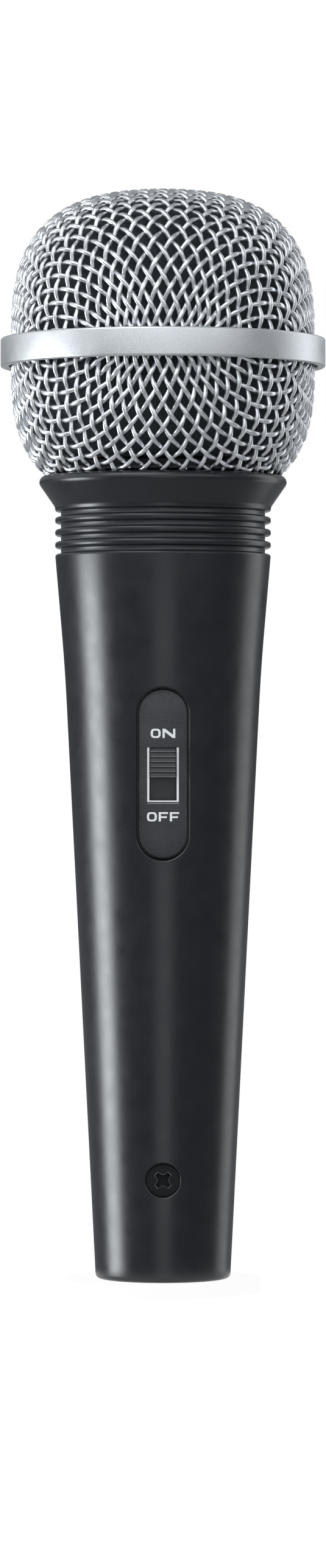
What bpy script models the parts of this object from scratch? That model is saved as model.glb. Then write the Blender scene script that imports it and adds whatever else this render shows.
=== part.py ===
"""Hand-held dynamic microphone: a woven wire ball on a tapered handle with a slide switch.

Metres, +Z up along the axis, the end of the handle stands on z = 0 and the switch faces -Y.
"""

import math

import bmesh
import bpy
import numpy as np
from mathutils import Vector

MM = 0.001

# Clearances
FIT_GAP = 0.3 * MM  # between a piece and its seat
SLIDE_GAP = 0.15 * MM  # between the switch button and the ends of its window
WEAVE_GAP = 0.35 * MM  # between two wires where they cross

# Handle
END_RADIUS = 11.05 * MM
END_EDGE_RADIUS = 0.8 * MM
LOWER_TAPER_LENGTH = 100.0 * MM
KNEE_RADIUS = 16.1 * MM
KNEE_BLEND = 6.0 * MM
UPPER_TAPER_LENGTH = 18.9 * MM
BODY_TOP_RADIUS = 17.7 * MM
HANDLE_WALL = 2.4 * MM
NECK_WALL = 2.1 * MM
GRIP_RIBS = 3
GRIP_RIB_WIDTH = 1.27 * MM
GRIP_GROOVE_WIDTH = 0.76 * MM
GRIP_GROOVE_DEPTH = 0.95 * MM
GRIP_EDGE = 0.2 * MM
FLARE_LAND = 0.75 * MM
FLARE_HEIGHT = 5.2 * MM
FLARE_REACH = 2.6 * MM
FLARE_EDGE_RADIUS = 1.1 * MM
THREAD_DEPTH = 5.1 * MM
LEDGE_WIDTH = 1.7 * MM

# Grille
BOWL_HEIGHT = 16.2 * MM
DOME_HEIGHT = 24.25 * MM
BALL_SQUARENESS = 2.8  # exponent of the ball's outline: 2 is an ellipse
MESH_OVERHANG = 4.65 * MM  # mesh past the flare
WIRE_DIAMETER = 0.72 * MM
MESH_PITCH = 4.6 * MM
CLOTH_STRETCH = 0.085  # lengthening of the cells between the two wires through the pole
CLOTH_DRIFT = 0.27  # how evenly the shear is spread
HEM_HEIGHT = 0.8 * MM
HEM_COVER = 0.1 * MM  # hem past the crests of the wires
HEM_INSET = 0.3 * MM  # middle of the lower hem inside the flare
BAND_OVERHANG = 1.7 * MM  # band past the mesh
BAND_HEIGHT = 4.7 * MM
BAND_EDGE_RADIUS = 0.5 * MM
BAND_WEB = 0.7 * MM
RING_WALL = 1.2 * MM
RING_LIP = 0.6 * MM
FOAM_GAP = 0.3 * MM
FOAM_THICKNESS = 2.0 * MM

# Cartridge
MOUNT_WALL = 1.8 * MM
MOUNT_FLANGE = 1.0 * MM
MOUNT_DEPTH = 13.0 * MM
CAPSULE_WALL = 1.4 * MM
CAPSULE_RING_GAP = 1.3 * MM
CAPSULE_NECK_DEPTH = 19.6 * MM
CAPSULE_SHOULDER = 1.8 * MM
PORT_WIDTH = 2.6 * MM
PORT_HEIGHT = 0.9 * MM
PORTS = 6
YOKE_BASE = 2.0 * MM
YOKE_WALL = 3.0 * MM
MAGNET_GAP = 2.3 * MM
MAGNET_HEIGHT = 6.0 * MM
TOP_PLATE = 2.0 * MM
POLE_FOOT = 2.0 * MM  # pole piece below the top plate
COIL_WALL = 0.5 * MM
COIL_HEIGHT = 4.4 * MM
COIL_RISE = 1.9 * MM  # coil above the top plate
DIAPHRAGM_RIM = 1.2 * MM
DIAPHRAGM_SKIN = 0.4 * MM
DIAPHRAGM_RISE = 2.0 * MM
CAP_HEIGHT = 4.2 * MM
CAP_TOP = 1.2 * MM
CAP_HOLES = 6
CAP_HOLE_RADIUS = 1.7 * MM
CAP_HOLE_SPREAD = 0.62  # circle of the holes as a share of the bore
FELT = 0.7 * MM
REAR_COVER = 1.5 * MM
TERMINAL_WIDTH = 1.6 * MM
TERMINAL_SHEET = 0.5 * MM
TERMINAL_LENGTH = 3.2 * MM
TERMINAL_SPREAD = 6.0 * MM
TERMINAL_SETBACK = 2.0 * MM  # behind the axis

# Switch, with depths measured inwards from the front of the handle
SWITCH_DROP = 36.2 * MM  # from the top of the tapered body to the middle of the plate
PLATE_WIDTH = 8.45 * MM
PLATE_HEIGHT = 28.0 * MM
PLATE_RECESS = 0.95 * MM
PLATE_SHEET = 1.0 * MM
PLATE_RIM = 0.9 * MM
WINDOW_WIDTH = 4.5 * MM
WINDOW_HEIGHT = 8.5 * MM
BUTTON_WIDTH = 4.1 * MM
BUTTON_HEIGHT = 4.6 * MM
BUTTON_RISE = 0.6 * MM  # above the plate
BUTTON_RIBS = 6
BUTTON_RIB_DEPTH = 0.3 * MM
SKIRT_SHEET = 0.5 * MM
SKIRT_COVER = 0.6 * MM  # skirt past the window on every side
PAD_THICKNESS = 1.35 * MM
PAD_WIDTH = 12.0 * MM
STEM_WIDTH = 2.6 * MM
STEM_HEIGHT = 2.8 * MM
STEM_REACH = 2.2 * MM
FRAME_WIDTH = 6.6 * MM
FRAME_SHEET = 0.5 * MM
CAN_DEPTH = 4.6 * MM
CAN_MARGIN = 3.0 * MM  # can past the stem's travel
CONTACT_SHEET = 0.4 * MM
BASE_SHEET = 0.8 * MM
LUG_WIDTH = 1.2 * MM
LUG_LENGTH = 3.6 * MM
SWITCH_SCREW_RADIUS = 0.7 * MM
SWITCH_SCREW_HEAD = 1.2 * MM
SWITCH_SCREW_INSET = 3.0 * MM  # from the end of the plate

# Connector
SOCKET_RADIUS = 8.2 * MM
SOCKET_DEPTH = 12.7 * MM
INSERT_LENGTH = 13.3 * MM
STOP_DEPTH = 0.9 * MM
STOP_HEIGHT = 1.5 * MM
PIN_RADIUS = 1.2 * MM
PIN_CIRCLE = 3.81 * MM
PIN_REACH = 10.7 * MM
PIN_TAIL = 3.0 * MM
CATCH_WIDTH = 4.4 * MM
CATCH_HEIGHT = 2.5 * MM
CATCH_DEPTH = 0.9 * MM
CATCH_RISE = 4.5 * MM
SCREW_RISE = 4.1 * MM  # screw's axis above the socket's floor
SCREW_HEAD_RADIUS = 2.6 * MM
SCREW_HEAD = 1.4 * MM
SCREW_SINK = 0.5 * MM
SCREW_RADIUS = 1.25 * MM
SCREW_BITE = 2.6 * MM  # into the insert
CROSS_LENGTH = 2.8 * MM
CROSS_WIDTH = 0.75 * MM
CROSS_DEPTH = 0.8 * MM
SPRING_SHEET = 0.5 * MM
SPRING_WIDTH = 3.6 * MM

# Leads
LEAD_RADIUS = 0.5 * MM
LEAD_DROP = 8.0 * MM  # straight run below a terminal
LEAD_BOW = 7.0 * MM  # bow away from the switch
LEAD_CLEAR = 4.0 * MM  # bow of the cold lead round the other two

# Facets
HANDLE_STEPS = 26
BALL_STEPS = 28
RING_STEPS = 20
SMALL_STEPS = 16
PIN_STEPS = 10
WIRE_SIDES = 3
FOAM_STEPS = 5  # up each half of the foam

# Heights worked out from the bottom up
KNEE_Z = LOWER_TAPER_LENGTH
BODY_TOP_Z = KNEE_Z + UPPER_TAPER_LENGTH
NECK_TOP_Z = BODY_TOP_Z + GRIP_RIBS * GRIP_RIB_WIDTH + (GRIP_RIBS + 1) * GRIP_GROOVE_WIDTH
FLARE_Z = NECK_TOP_Z + FLARE_LAND
MOUTH_Z = FLARE_Z + FLARE_HEIGHT
LEDGE_Z = MOUTH_Z - THREAD_DEPTH
MOUNT_TOP_Z = LEDGE_Z + FIT_GAP + MOUNT_FLANGE
LIP_Z = MOUTH_Z + FIT_GAP
LOWER_HEM_Z = LIP_Z + RING_LIP + FIT_GAP
BAND_Z = LOWER_HEM_Z + HEM_HEIGHT / 2 + BOWL_HEIGHT
BAND_TOP_Z = BAND_Z + BAND_HEIGHT
WEB_Z = BAND_Z + (BAND_HEIGHT - BAND_WEB) / 2
BOWL_HEM_Z = WEB_Z - FIT_GAP - HEM_HEIGHT
DOME_HEM_Z = WEB_Z + BAND_WEB + FIT_GAP
INSERT_TOP_Z = SOCKET_DEPTH + INSERT_LENGTH
STOP_Z = INSERT_TOP_Z + FIT_GAP
CAVITY_Z = STOP_Z + STOP_HEIGHT
SCREW_Z = SOCKET_DEPTH + SCREW_RISE
SWITCH_Z = BODY_TOP_Z - SWITCH_DROP

# Radii worked out from the neck outwards and inwards
TAPER = (KNEE_RADIUS - END_RADIUS) / LOWER_TAPER_LENGTH
GROOVE_RADIUS = BODY_TOP_RADIUS - GRIP_GROOVE_DEPTH
FLARE_RADIUS = BODY_TOP_RADIUS + FLARE_REACH
BORE_RADIUS = GROOVE_RADIUS - NECK_WALL
THREAD_RADIUS = BORE_RADIUS + LEDGE_WIDTH
WIRE_RADIUS = 0.65 * WIRE_DIAMETER  # of a three-sided wire about as thick as the round one
WEAVE_RISE = (1.5 * WIRE_RADIUS + WEAVE_GAP) / 2
CLOTH_HALF = WEAVE_RISE + WIRE_RADIUS
MESH_RADIUS = FLARE_RADIUS + MESH_OVERHANG
BALL_RADIUS = MESH_RADIUS - CLOTH_HALF
BAND_RADIUS = MESH_RADIUS + BAND_OVERHANG
HEM_RADIUS = FLARE_RADIUS - HEM_INSET
RING_RADIUS = THREAD_RADIUS - FIT_GAP
RING_BORE = RING_RADIUS - RING_WALL
MOUNT_RADIUS = BORE_RADIUS - FIT_GAP
MOUNT_BORE = MOUNT_RADIUS - MOUNT_WALL
CAPSULE_NECK = MOUNT_BORE - FIT_GAP
CAPSULE_BORE = CAPSULE_NECK - CAPSULE_WALL
CAPSULE_HEAD = RING_BORE - CAPSULE_RING_GAP
MOTOR_BORE = CAPSULE_HEAD - CAPSULE_WALL
MOTOR_RADIUS = MOTOR_BORE - FIT_GAP

# Heights inside the cartridge
HEAD_Z = MOUNT_TOP_Z + FIT_GAP
REAR_Z = HEAD_Z - CAPSULE_NECK_DEPTH
YOKE_Z = HEAD_Z + CAPSULE_SHOULDER + FIT_GAP
MAGNET_Z = YOKE_Z + YOKE_BASE + FIT_GAP
POLE_Z = MAGNET_Z + MAGNET_HEIGHT + FIT_GAP
PLATE_Z = POLE_Z + POLE_FOOT
GAP_TOP_Z = PLATE_Z + TOP_PLATE
COIL_TOP_Z = GAP_TOP_Z + COIL_RISE
SKIN_Z = COIL_TOP_Z + FIT_GAP
RIM_Z = SKIN_Z + DIAPHRAGM_SKIN + DIAPHRAGM_RISE
CAP_Z = RIM_Z + FIT_GAP
COVER_Z = REAR_Z - FIT_GAP - REAR_COVER

# Depths inside the switch
PLATE_BACK = PLATE_RECESS + PLATE_SHEET
SKIRT_FRONT = PLATE_BACK + FIT_GAP
SKIRT_BACK = SKIRT_FRONT + SKIRT_SHEET
POCKET_DEPTH = SKIRT_BACK + FIT_GAP
PAD_BACK = POCKET_DEPTH + PAD_THICKNESS
FRAME_FRONT = PAD_BACK + FIT_GAP
CAN_BACK = FRAME_FRONT + FRAME_SHEET + CAN_DEPTH
STEM_END = FRAME_FRONT + FRAME_SHEET + STEM_REACH
CONTACT_BACK = STEM_END + FIT_GAP + CONTACT_SHEET
LUG_FRONT = CONTACT_BACK + FIT_GAP
LUG_BACK = LUG_FRONT + LUG_LENGTH
BASE_FRONT = LUG_FRONT + FIT_GAP
TRAVEL = WINDOW_HEIGHT - BUTTON_HEIGHT - 2 * SLIDE_GAP
BUTTON_REST = TRAVEL / 2  # switched on: button at the top of its window
SLOT_HEIGHT = STEM_HEIGHT + TRAVEL + 2 * FIT_GAP
CAN_HEIGHT = SLOT_HEIGHT + 2 * CAN_MARGIN
SCREW_OFFSET = PLATE_HEIGHT / 2 - SWITCH_SCREW_INSET


def finish(name, colour, roughness, metallic=0.0):
    """Make one Principled material."""
    material = bpy.data.materials.new(name)
    material.use_nodes = True
    shader = material.node_tree.nodes["Principled BSDF"]
    shader.inputs["Base Color"].default_value = (*colour, 1.0)
    shader.inputs["Roughness"].default_value = roughness
    shader.inputs["Metallic"].default_value = metallic
    return material


def place(name, bm, material=None, parent=None):
    """Turn a bmesh into a smooth-shaded object."""
    bmesh.ops.recalc_face_normals(bm, faces=bm.faces)
    for face in bm.faces:
        face.smooth = True
    mesh = bpy.data.meshes.new(name)
    bm.to_mesh(mesh)
    bm.free()
    mesh.set_sharp_from_angle(angle=math.radians(35))
    if material:
        mesh.materials.append(material)
    item = bpy.data.objects.new(name, mesh)
    item.parent = parent
    bpy.context.scene.collection.objects.link(item)
    return item


def combine(target, tool, operation="DIFFERENCE", solver="EXACT"):
    """Cut a hidden tool out of a piece, or join it on."""
    tool.hide_render = True
    tool.display_type = "WIRE"
    step = target.modifiers.new(tool.name, "BOOLEAN")
    step.operation = operation
    step.solver = solver
    step.object = tool


def turned(name, outline, material=None, steps=SMALL_STEPS):
    """Spin a closed outline of (radius, height) points about Z."""
    bm = bmesh.new()
    points = [bm.verts.new((radius, 0.0, height)) for radius, height in outline]
    sides = [
        bm.edges.new(pair)
        for pair in zip(points, points[1:] + points[:1])
        if max(pair[0].co.x, pair[1].co.x) > 0.0
    ]
    bmesh.ops.spin(bm, geom=points + sides, cent=(0, 0, 0), axis=(0, 0, 1), angle=math.tau, steps=steps)
    bmesh.ops.remove_doubles(bm, verts=bm.verts, dist=1e-7)
    return place(name, bm, material)


def prism(name, outline, axis, start, stop, material=None, parent=None):
    """Extrude a flat outline along one axis, from start to stop."""
    slot = "xyz".index(axis)
    bm = bmesh.new()
    face = bm.faces.new([bm.verts.new((*spot[:slot], start, *spot[slot:])) for spot in outline])
    grown = bmesh.ops.extrude_face_region(bm, geom=[face])["geom"]
    shift = (stop - start) * Vector([letter == axis for letter in "xyz"])
    bmesh.ops.translate(bm, vec=shift, verts=[v for v in grown if isinstance(v, bmesh.types.BMVert)])
    return place(name, bm, material, parent)


def arc(centre, radius, first, last, count):
    """Points of an arc, with its angles in degrees."""
    angles = (math.radians(first + (last - first) * step / count) for step in range(count + 1))
    return [(centre[0] + radius * math.cos(a), centre[1] + radius * math.sin(a)) for a in angles]


def rectangle(width, height, middle=(0.0, 0.0)):
    """Outline of a rectangle about its middle."""
    x, y = middle
    return [
        (x - width / 2, y - height / 2),
        (x + width / 2, y - height / 2),
        (x + width / 2, y + height / 2),
        (x - width / 2, y + height / 2),
    ]


def stadium(width, height):
    """Outline of an upright slot with round ends."""
    middle = (height - width) / 2
    return arc((0, middle), width / 2, 0, 180, 8) + arc((0, -middle), width / 2, 180, 360, 8)


def disc(radius, middle=(0.0, 0.0), count=PIN_STEPS):
    """Outline of a disc."""
    return arc(middle, radius, 0, 360, count)[:-1]


def tube(inner, outer, low, high):
    """Outline of a plain ring, or of a disc if it has no hole, for turned()."""
    return [(inner, low), (outer, low), (outer, high), (inner, high)]


def handle_radius(height):
    """Outer radius of the lower taper."""
    return END_RADIUS + TAPER * height


def handle_outline():
    """Closed outline of the handle: up its outer side and down its bore."""
    knee = (KNEE_RADIUS, KNEE_Z)
    slope = (BODY_TOP_RADIUS - KNEE_RADIUS) / UPPER_TAPER_LENGTH
    below = (KNEE_RADIUS - TAPER * KNEE_BLEND, KNEE_Z - KNEE_BLEND)
    above = (KNEE_RADIUS + slope * KNEE_BLEND, KNEE_Z + KNEE_BLEND)
    outer = arc((END_RADIUS - END_EDGE_RADIUS, END_EDGE_RADIUS), END_EDGE_RADIUS, -90, 0, 2)
    for t in (0.0, 0.5, 1.0):
        outer.append(
            tuple((1 - t) ** 2 * a + 2 * t * (1 - t) * b + t * t * c for a, b, c in zip(below, knee, above))
        )
    outer.append((BODY_TOP_RADIUS, BODY_TOP_Z - GRIP_EDGE))
    outer.append((BODY_TOP_RADIUS - GRIP_EDGE, BODY_TOP_Z))
    outer.append((GROOVE_RADIUS, BODY_TOP_Z))
    for rib in range(GRIP_RIBS):
        foot = BODY_TOP_Z + GRIP_GROOVE_WIDTH + rib * (GRIP_RIB_WIDTH + GRIP_GROOVE_WIDTH)
        outer.append((GROOVE_RADIUS, foot))
        outer.append((BODY_TOP_RADIUS, foot + GRIP_EDGE))
        outer.append((BODY_TOP_RADIUS, foot + GRIP_RIB_WIDTH - GRIP_EDGE))
        outer.append((GROOVE_RADIUS, foot + GRIP_RIB_WIDTH))
    outer.append((GROOVE_RADIUS, NECK_TOP_Z))
    outer.append((BODY_TOP_RADIUS, NECK_TOP_Z + GRIP_EDGE))
    outer.append((BODY_TOP_RADIUS, FLARE_Z))
    centre = (FLARE_RADIUS - FLARE_EDGE_RADIUS, MOUTH_Z - FLARE_EDGE_RADIUS)
    back = (BODY_TOP_RADIUS - centre[0], FLARE_Z - centre[1])
    touch = math.atan2(back[1], back[0]) + math.acos(FLARE_EDGE_RADIUS / math.hypot(*back))
    outer += arc(centre, FLARE_EDGE_RADIUS, math.degrees(touch), 90, 3)
    inner = [
        (THREAD_RADIUS, MOUTH_Z),
        (THREAD_RADIUS, LEDGE_Z),
        (BORE_RADIUS, LEDGE_Z),
        (BORE_RADIUS, LEDGE_Z - MOUNT_DEPTH - FIT_GAP),
        (KNEE_RADIUS - HANDLE_WALL, KNEE_Z),
        (handle_radius(CAVITY_Z) - HANDLE_WALL, CAVITY_Z),
        (SOCKET_RADIUS - STOP_DEPTH, CAVITY_Z),
        (SOCKET_RADIUS - STOP_DEPTH, STOP_Z),
        (SOCKET_RADIUS, STOP_Z),
        (SOCKET_RADIUS, 0.0),
    ]
    return outer + inner


def build_handle(seat, looks):
    """Tapered tube with its grip ribs, switch pocket, screw hole and plug catch."""
    handle = turned("handle", handle_outline(), looks["paint"], HANDLE_STEPS)
    pad = rectangle(PAD_WIDTH, PLATE_HEIGHT + 2 * PLATE_RIM)
    combine(handle, prism("pad", pad, "y", PLATE_BACK, PAD_BACK, None, seat), "UNION")
    pocket = stadium(PLATE_WIDTH, PLATE_HEIGHT)
    combine(handle, prism("pocket", pocket, "y", -PLATE_HEIGHT / 4, POCKET_DEPTH, None, seat))
    slot = rectangle(STEM_WIDTH + 2 * FIT_GAP, SLOT_HEIGHT)
    combine(handle, prism("stem_slot", slot, "y", PLATE_BACK, PAD_BACK + FIT_GAP, None, seat))
    for end in (-1, 1):
        hole = disc(SWITCH_SCREW_RADIUS + FIT_GAP, (0.0, end * SCREW_OFFSET))
        combine(handle, prism(f"switch_hole_{end}", hole, "y", PLATE_BACK, PAD_BACK + FIT_GAP, None, seat))
    front = -handle_radius(SCREW_Z)
    head = disc(SCREW_HEAD_RADIUS + FIT_GAP, (0.0, SCREW_Z), SMALL_STEPS)
    floor = front + SCREW_SINK + SCREW_HEAD + FIT_GAP
    combine(handle, prism("screw_sink", head, "y", 1.5 * front, floor))
    shank = disc(SCREW_RADIUS + FIT_GAP, (0.0, SCREW_Z))
    combine(handle, prism("screw_hole", shank, "y", front, 0.0))
    catch = rectangle(CATCH_WIDTH, CATCH_HEIGHT, (0.0, CATCH_RISE + CATCH_HEIGHT / 2))
    combine(handle, prism("plug_catch", catch, "y", -SOCKET_RADIUS - CATCH_DEPTH, 0.0))


class Shell:
    """Half of the ball: a squared ellipse of revolution that goes on as a straight tube past its rim."""

    def __init__(self, height, rim, way):
        self.height, self.rim, self.way = height, rim, way
        bend = np.linspace(0.0, math.pi / 2, 800)
        power = 2 / BALL_SQUARENESS
        self.radii = np.append(BALL_RADIUS * np.sin(bend) ** power, BALL_RADIUS)
        self.rises = np.append(height * np.cos(bend) ** power, -MESH_PITCH - BAND_HEIGHT)
        steps = np.hypot(np.diff(self.radii), np.diff(self.rises))
        self.arcs = np.concatenate([[0.0], np.cumsum(steps)])

    def node(self, i, j):
        """Where wire i of one set crosses wire j of the other, or None past the end of the shell.

        Flat cloth pressed over a ball keeps its pitch along the two wires through the pole. Between them
        it shears, and the cells get longer along the slope.
        """
        flat = MESH_PITCH * math.hypot(i, j)
        turn = math.atan2(j, i)
        arc_length = flat * (1 + CLOTH_STRETCH * (flat / BALL_RADIUS) ** 2 * (1 - math.cos(4 * turn)) / 2)
        if arc_length > self.arcs[-1]:
            return None
        radius = np.interp(arc_length, self.arcs, self.radii)
        rise = np.interp(arc_length, self.arcs, self.rises)
        shear = (arc_length / radius - 1) / (4 + 8 * CLOTH_DRIFT) if radius > 0 else 0.0
        turn += shear * (math.sin(4 * turn) + CLOTH_DRIFT * math.sin(8 * turn)) + math.pi / 4
        return np.array([radius * math.cos(turn), radius * math.sin(turn), self.rim + self.way * rise])

    def normal(self, point):
        """Outward normal at a point of the shell."""
        out = math.hypot(point[0], point[1])
        up = max(self.way * (point[2] - self.rim), 0.0) / self.height
        radial = (out / BALL_RADIUS) ** (BALL_SQUARENESS - 1) / BALL_RADIUS
        axial = self.way * up ** (BALL_SQUARENESS - 1) / self.height
        spread = radial / out if out > 0 else 0.0
        normal = np.array([point[0] * spread, point[1] * spread, axial])
        return normal / np.linalg.norm(normal)

    def radius(self, height, offset):
        """Radius at a height, moved inwards by the offset."""
        rise = self.way * (height - self.rim) / (self.height - offset)
        return (BALL_RADIUS - offset) * (1 - rise**BALL_SQUARENESS) ** (1 / BALL_SQUARENESS)

    def profile(self, offset, count):
        """(radius, height) points from the rim to the pole, moved inwards by the offset."""
        power = 2 / BALL_SQUARENESS
        points = []
        for step in range(count + 1):
            bend = math.pi / 2 * step / count
            radius = (BALL_RADIUS - offset) * math.cos(bend) ** power if step < count else 0.0
            points.append((radius, self.rim + self.way * (self.height - offset) * math.sin(bend) ** power))
        return points

    def runs(self, low, high):
        """Each wire as a list of (point, lift off the cloth's middle), cut between two heights."""
        count = int(self.arcs[-1] / MESH_PITCH)
        span = range(-count, count + 1)
        for lane in span:
            for side in (1, -1):
                wire = []
                for step in span:
                    spot = self.node(lane, step) if side > 0 else self.node(step, lane)
                    if spot is not None:
                        wire.append((spot, side * (-1) ** (lane + step) * WEAVE_RISE))
                yield from cut_wire(wire, low, high)


def cut_wire(wire, low, high):
    """Keep the stretches of a wire between two heights, each ending on one of them.

    A crossing too close to a cut end gives way to it, and a stretch that hardly leaves its hem is left out.
    """
    run = []
    for here, ahead in zip(wire, wire[1:]):
        inside, next_inside = (low < point[2] < high for point, _ in (here, ahead))
        if inside:
            run.append(here)
        if inside != next_inside:
            (a, lift_a), (b, lift_b) = here, ahead
            edge = low if min(a[2], b[2]) <= low else high
            share = (edge - a[2]) / (b[2] - a[2])
            run.append((a + (b - a) * share, lift_a + (lift_b - lift_a) * share))
            if inside:
                ends = (run[0], run[-1])
                reach = max(min(abs(point[2] - low), abs(point[2] - high)) for point, _ in run)
                if reach > HEM_HEIGHT / 2 + WIRE_DIAMETER:
                    gaps = (min(math.dist(spot, end) for end, _ in ends) for spot, _ in run)
                    clear = [spot for spot, gap in zip(run, gaps) if gap > WIRE_DIAMETER]
                    yield [ends[0], *clear, ends[1]]
                run = []


def sweep(bm, points, normals, radius, sides):
    """Add a closed bar along points, one edge facing each point's normal."""
    rings = []
    last = len(points) - 1
    for step, (point, normal) in enumerate(zip(points, normals)):
        along = points[min(step + 1, last)] - points[max(step - 1, 0)]
        along = along / np.linalg.norm(along)
        up = normal - along * (normal @ along)
        up = up / np.linalg.norm(up)
        side = np.cross(along, up)
        turns = (math.tau * k / sides for k in range(sides))
        rings.append([bm.verts.new(point + radius * (math.cos(t) * up + math.sin(t) * side)) for t in turns])
    for near, far in zip(rings, rings[1:]):
        for k in range(sides):
            bm.faces.new((near[k], near[k - 1], far[k - 1], far[k]))
    bm.faces.new(rings[0])
    bm.faces.new(rings[-1][::-1])


def woven(name, shell, hems, low, high, material):
    """Hem rings joined by the wires woven between them."""
    bm = bmesh.new()
    for run in shell.runs(low, high):
        normals = [shell.normal(point) for point, _ in run]
        points = [point + lift * normal for (point, lift), normal in zip(run, normals)]
        sweep(bm, points, normals, WIRE_RADIUS, WIRE_SIDES)
    wires = place(f"{name}_wires", bm)
    cloth = turned(name, hems[0], material, BALL_STEPS)
    combine(cloth, wires, "UNION", "MANIFOLD")
    for order, hem in enumerate(hems[1:]):
        combine(cloth, turned(f"{name}_hem_{order}", hem, None, BALL_STEPS), "UNION", "MANIFOLD")


def build_grille(looks):
    """Two woven halves, the band that joins them, the screw ring under them and the foam inside."""
    squash = (1 - (HEM_RADIUS / BALL_RADIUS) ** BALL_SQUARENESS) ** (1 / BALL_SQUARENESS)
    bowl = Shell(BOWL_HEIGHT / squash, BAND_Z, -1)
    dome = Shell(DOME_HEIGHT - CLOTH_HALF, BAND_TOP_Z, 1)
    inner, outer = BALL_RADIUS - CLOTH_HALF - HEM_COVER, MESH_RADIUS + HEM_COVER
    woven(
        "grille_dome",
        dome,
        [tube(inner, outer, DOME_HEM_Z, DOME_HEM_Z + HEM_HEIGHT)],
        DOME_HEM_Z + HEM_HEIGHT / 2,
        BAND_TOP_Z + 2 * DOME_HEIGHT,
        looks["wire"],
    )
    seat = (HEM_RADIUS - CLOTH_HALF - HEM_COVER, HEM_RADIUS + CLOTH_HALF + HEM_COVER)
    woven(
        "grille_bowl",
        bowl,
        [
            tube(inner, outer, BOWL_HEM_Z, BOWL_HEM_Z + HEM_HEIGHT),
            tube(*seat, LOWER_HEM_Z, LOWER_HEM_Z + HEM_HEIGHT),
        ],
        LOWER_HEM_Z + HEM_HEIGHT / 2,
        BOWL_HEM_Z + HEM_HEIGHT / 2,
        looks["wire"],
    )
    wall = outer + FIT_GAP
    rim, edge = BAND_RADIUS - BAND_EDGE_RADIUS, BAND_EDGE_RADIUS
    band = [(wall, BAND_Z)] + arc((rim, BAND_Z + edge), edge, -90, 0, 2)
    band += arc((rim, BAND_TOP_Z - edge), edge, 0, 90, 2) + [(wall, BAND_TOP_Z)]
    band += [(wall, WEB_Z + BAND_WEB), (inner, WEB_Z + BAND_WEB), (inner, WEB_Z), (wall, WEB_Z)]
    turned("grille_band", band, looks["band"], BALL_STEPS)
    spigot = seat[0] - FIT_GAP
    top = LOWER_HEM_Z + HEM_HEIGHT
    ring = [
        (RING_BORE, HEAD_Z),
        (RING_RADIUS, HEAD_Z),
        (RING_RADIUS, LIP_Z),
        (HEM_RADIUS, LIP_Z),
        (HEM_RADIUS, LIP_Z + RING_LIP),
        (spigot, LIP_Z + RING_LIP),
        (spigot, top),
        (RING_BORE, top),
    ]
    turned("grille_ring", ring, looks["steel"], RING_STEPS)
    skin = CLOTH_HALF + FOAM_GAP
    foot = top + FIT_GAP
    sides = []
    for offset in (skin, skin + FOAM_THICKNESS):
        heights = [foot + (BAND_Z - foot) * step / FOAM_STEPS for step in range(FOAM_STEPS)]
        sides.append([(bowl.radius(z, offset), z) for z in heights] + dome.profile(offset, FOAM_STEPS))
    turned("foam_liner", sides[0] + sides[1][::-1], looks["foam"])


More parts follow.
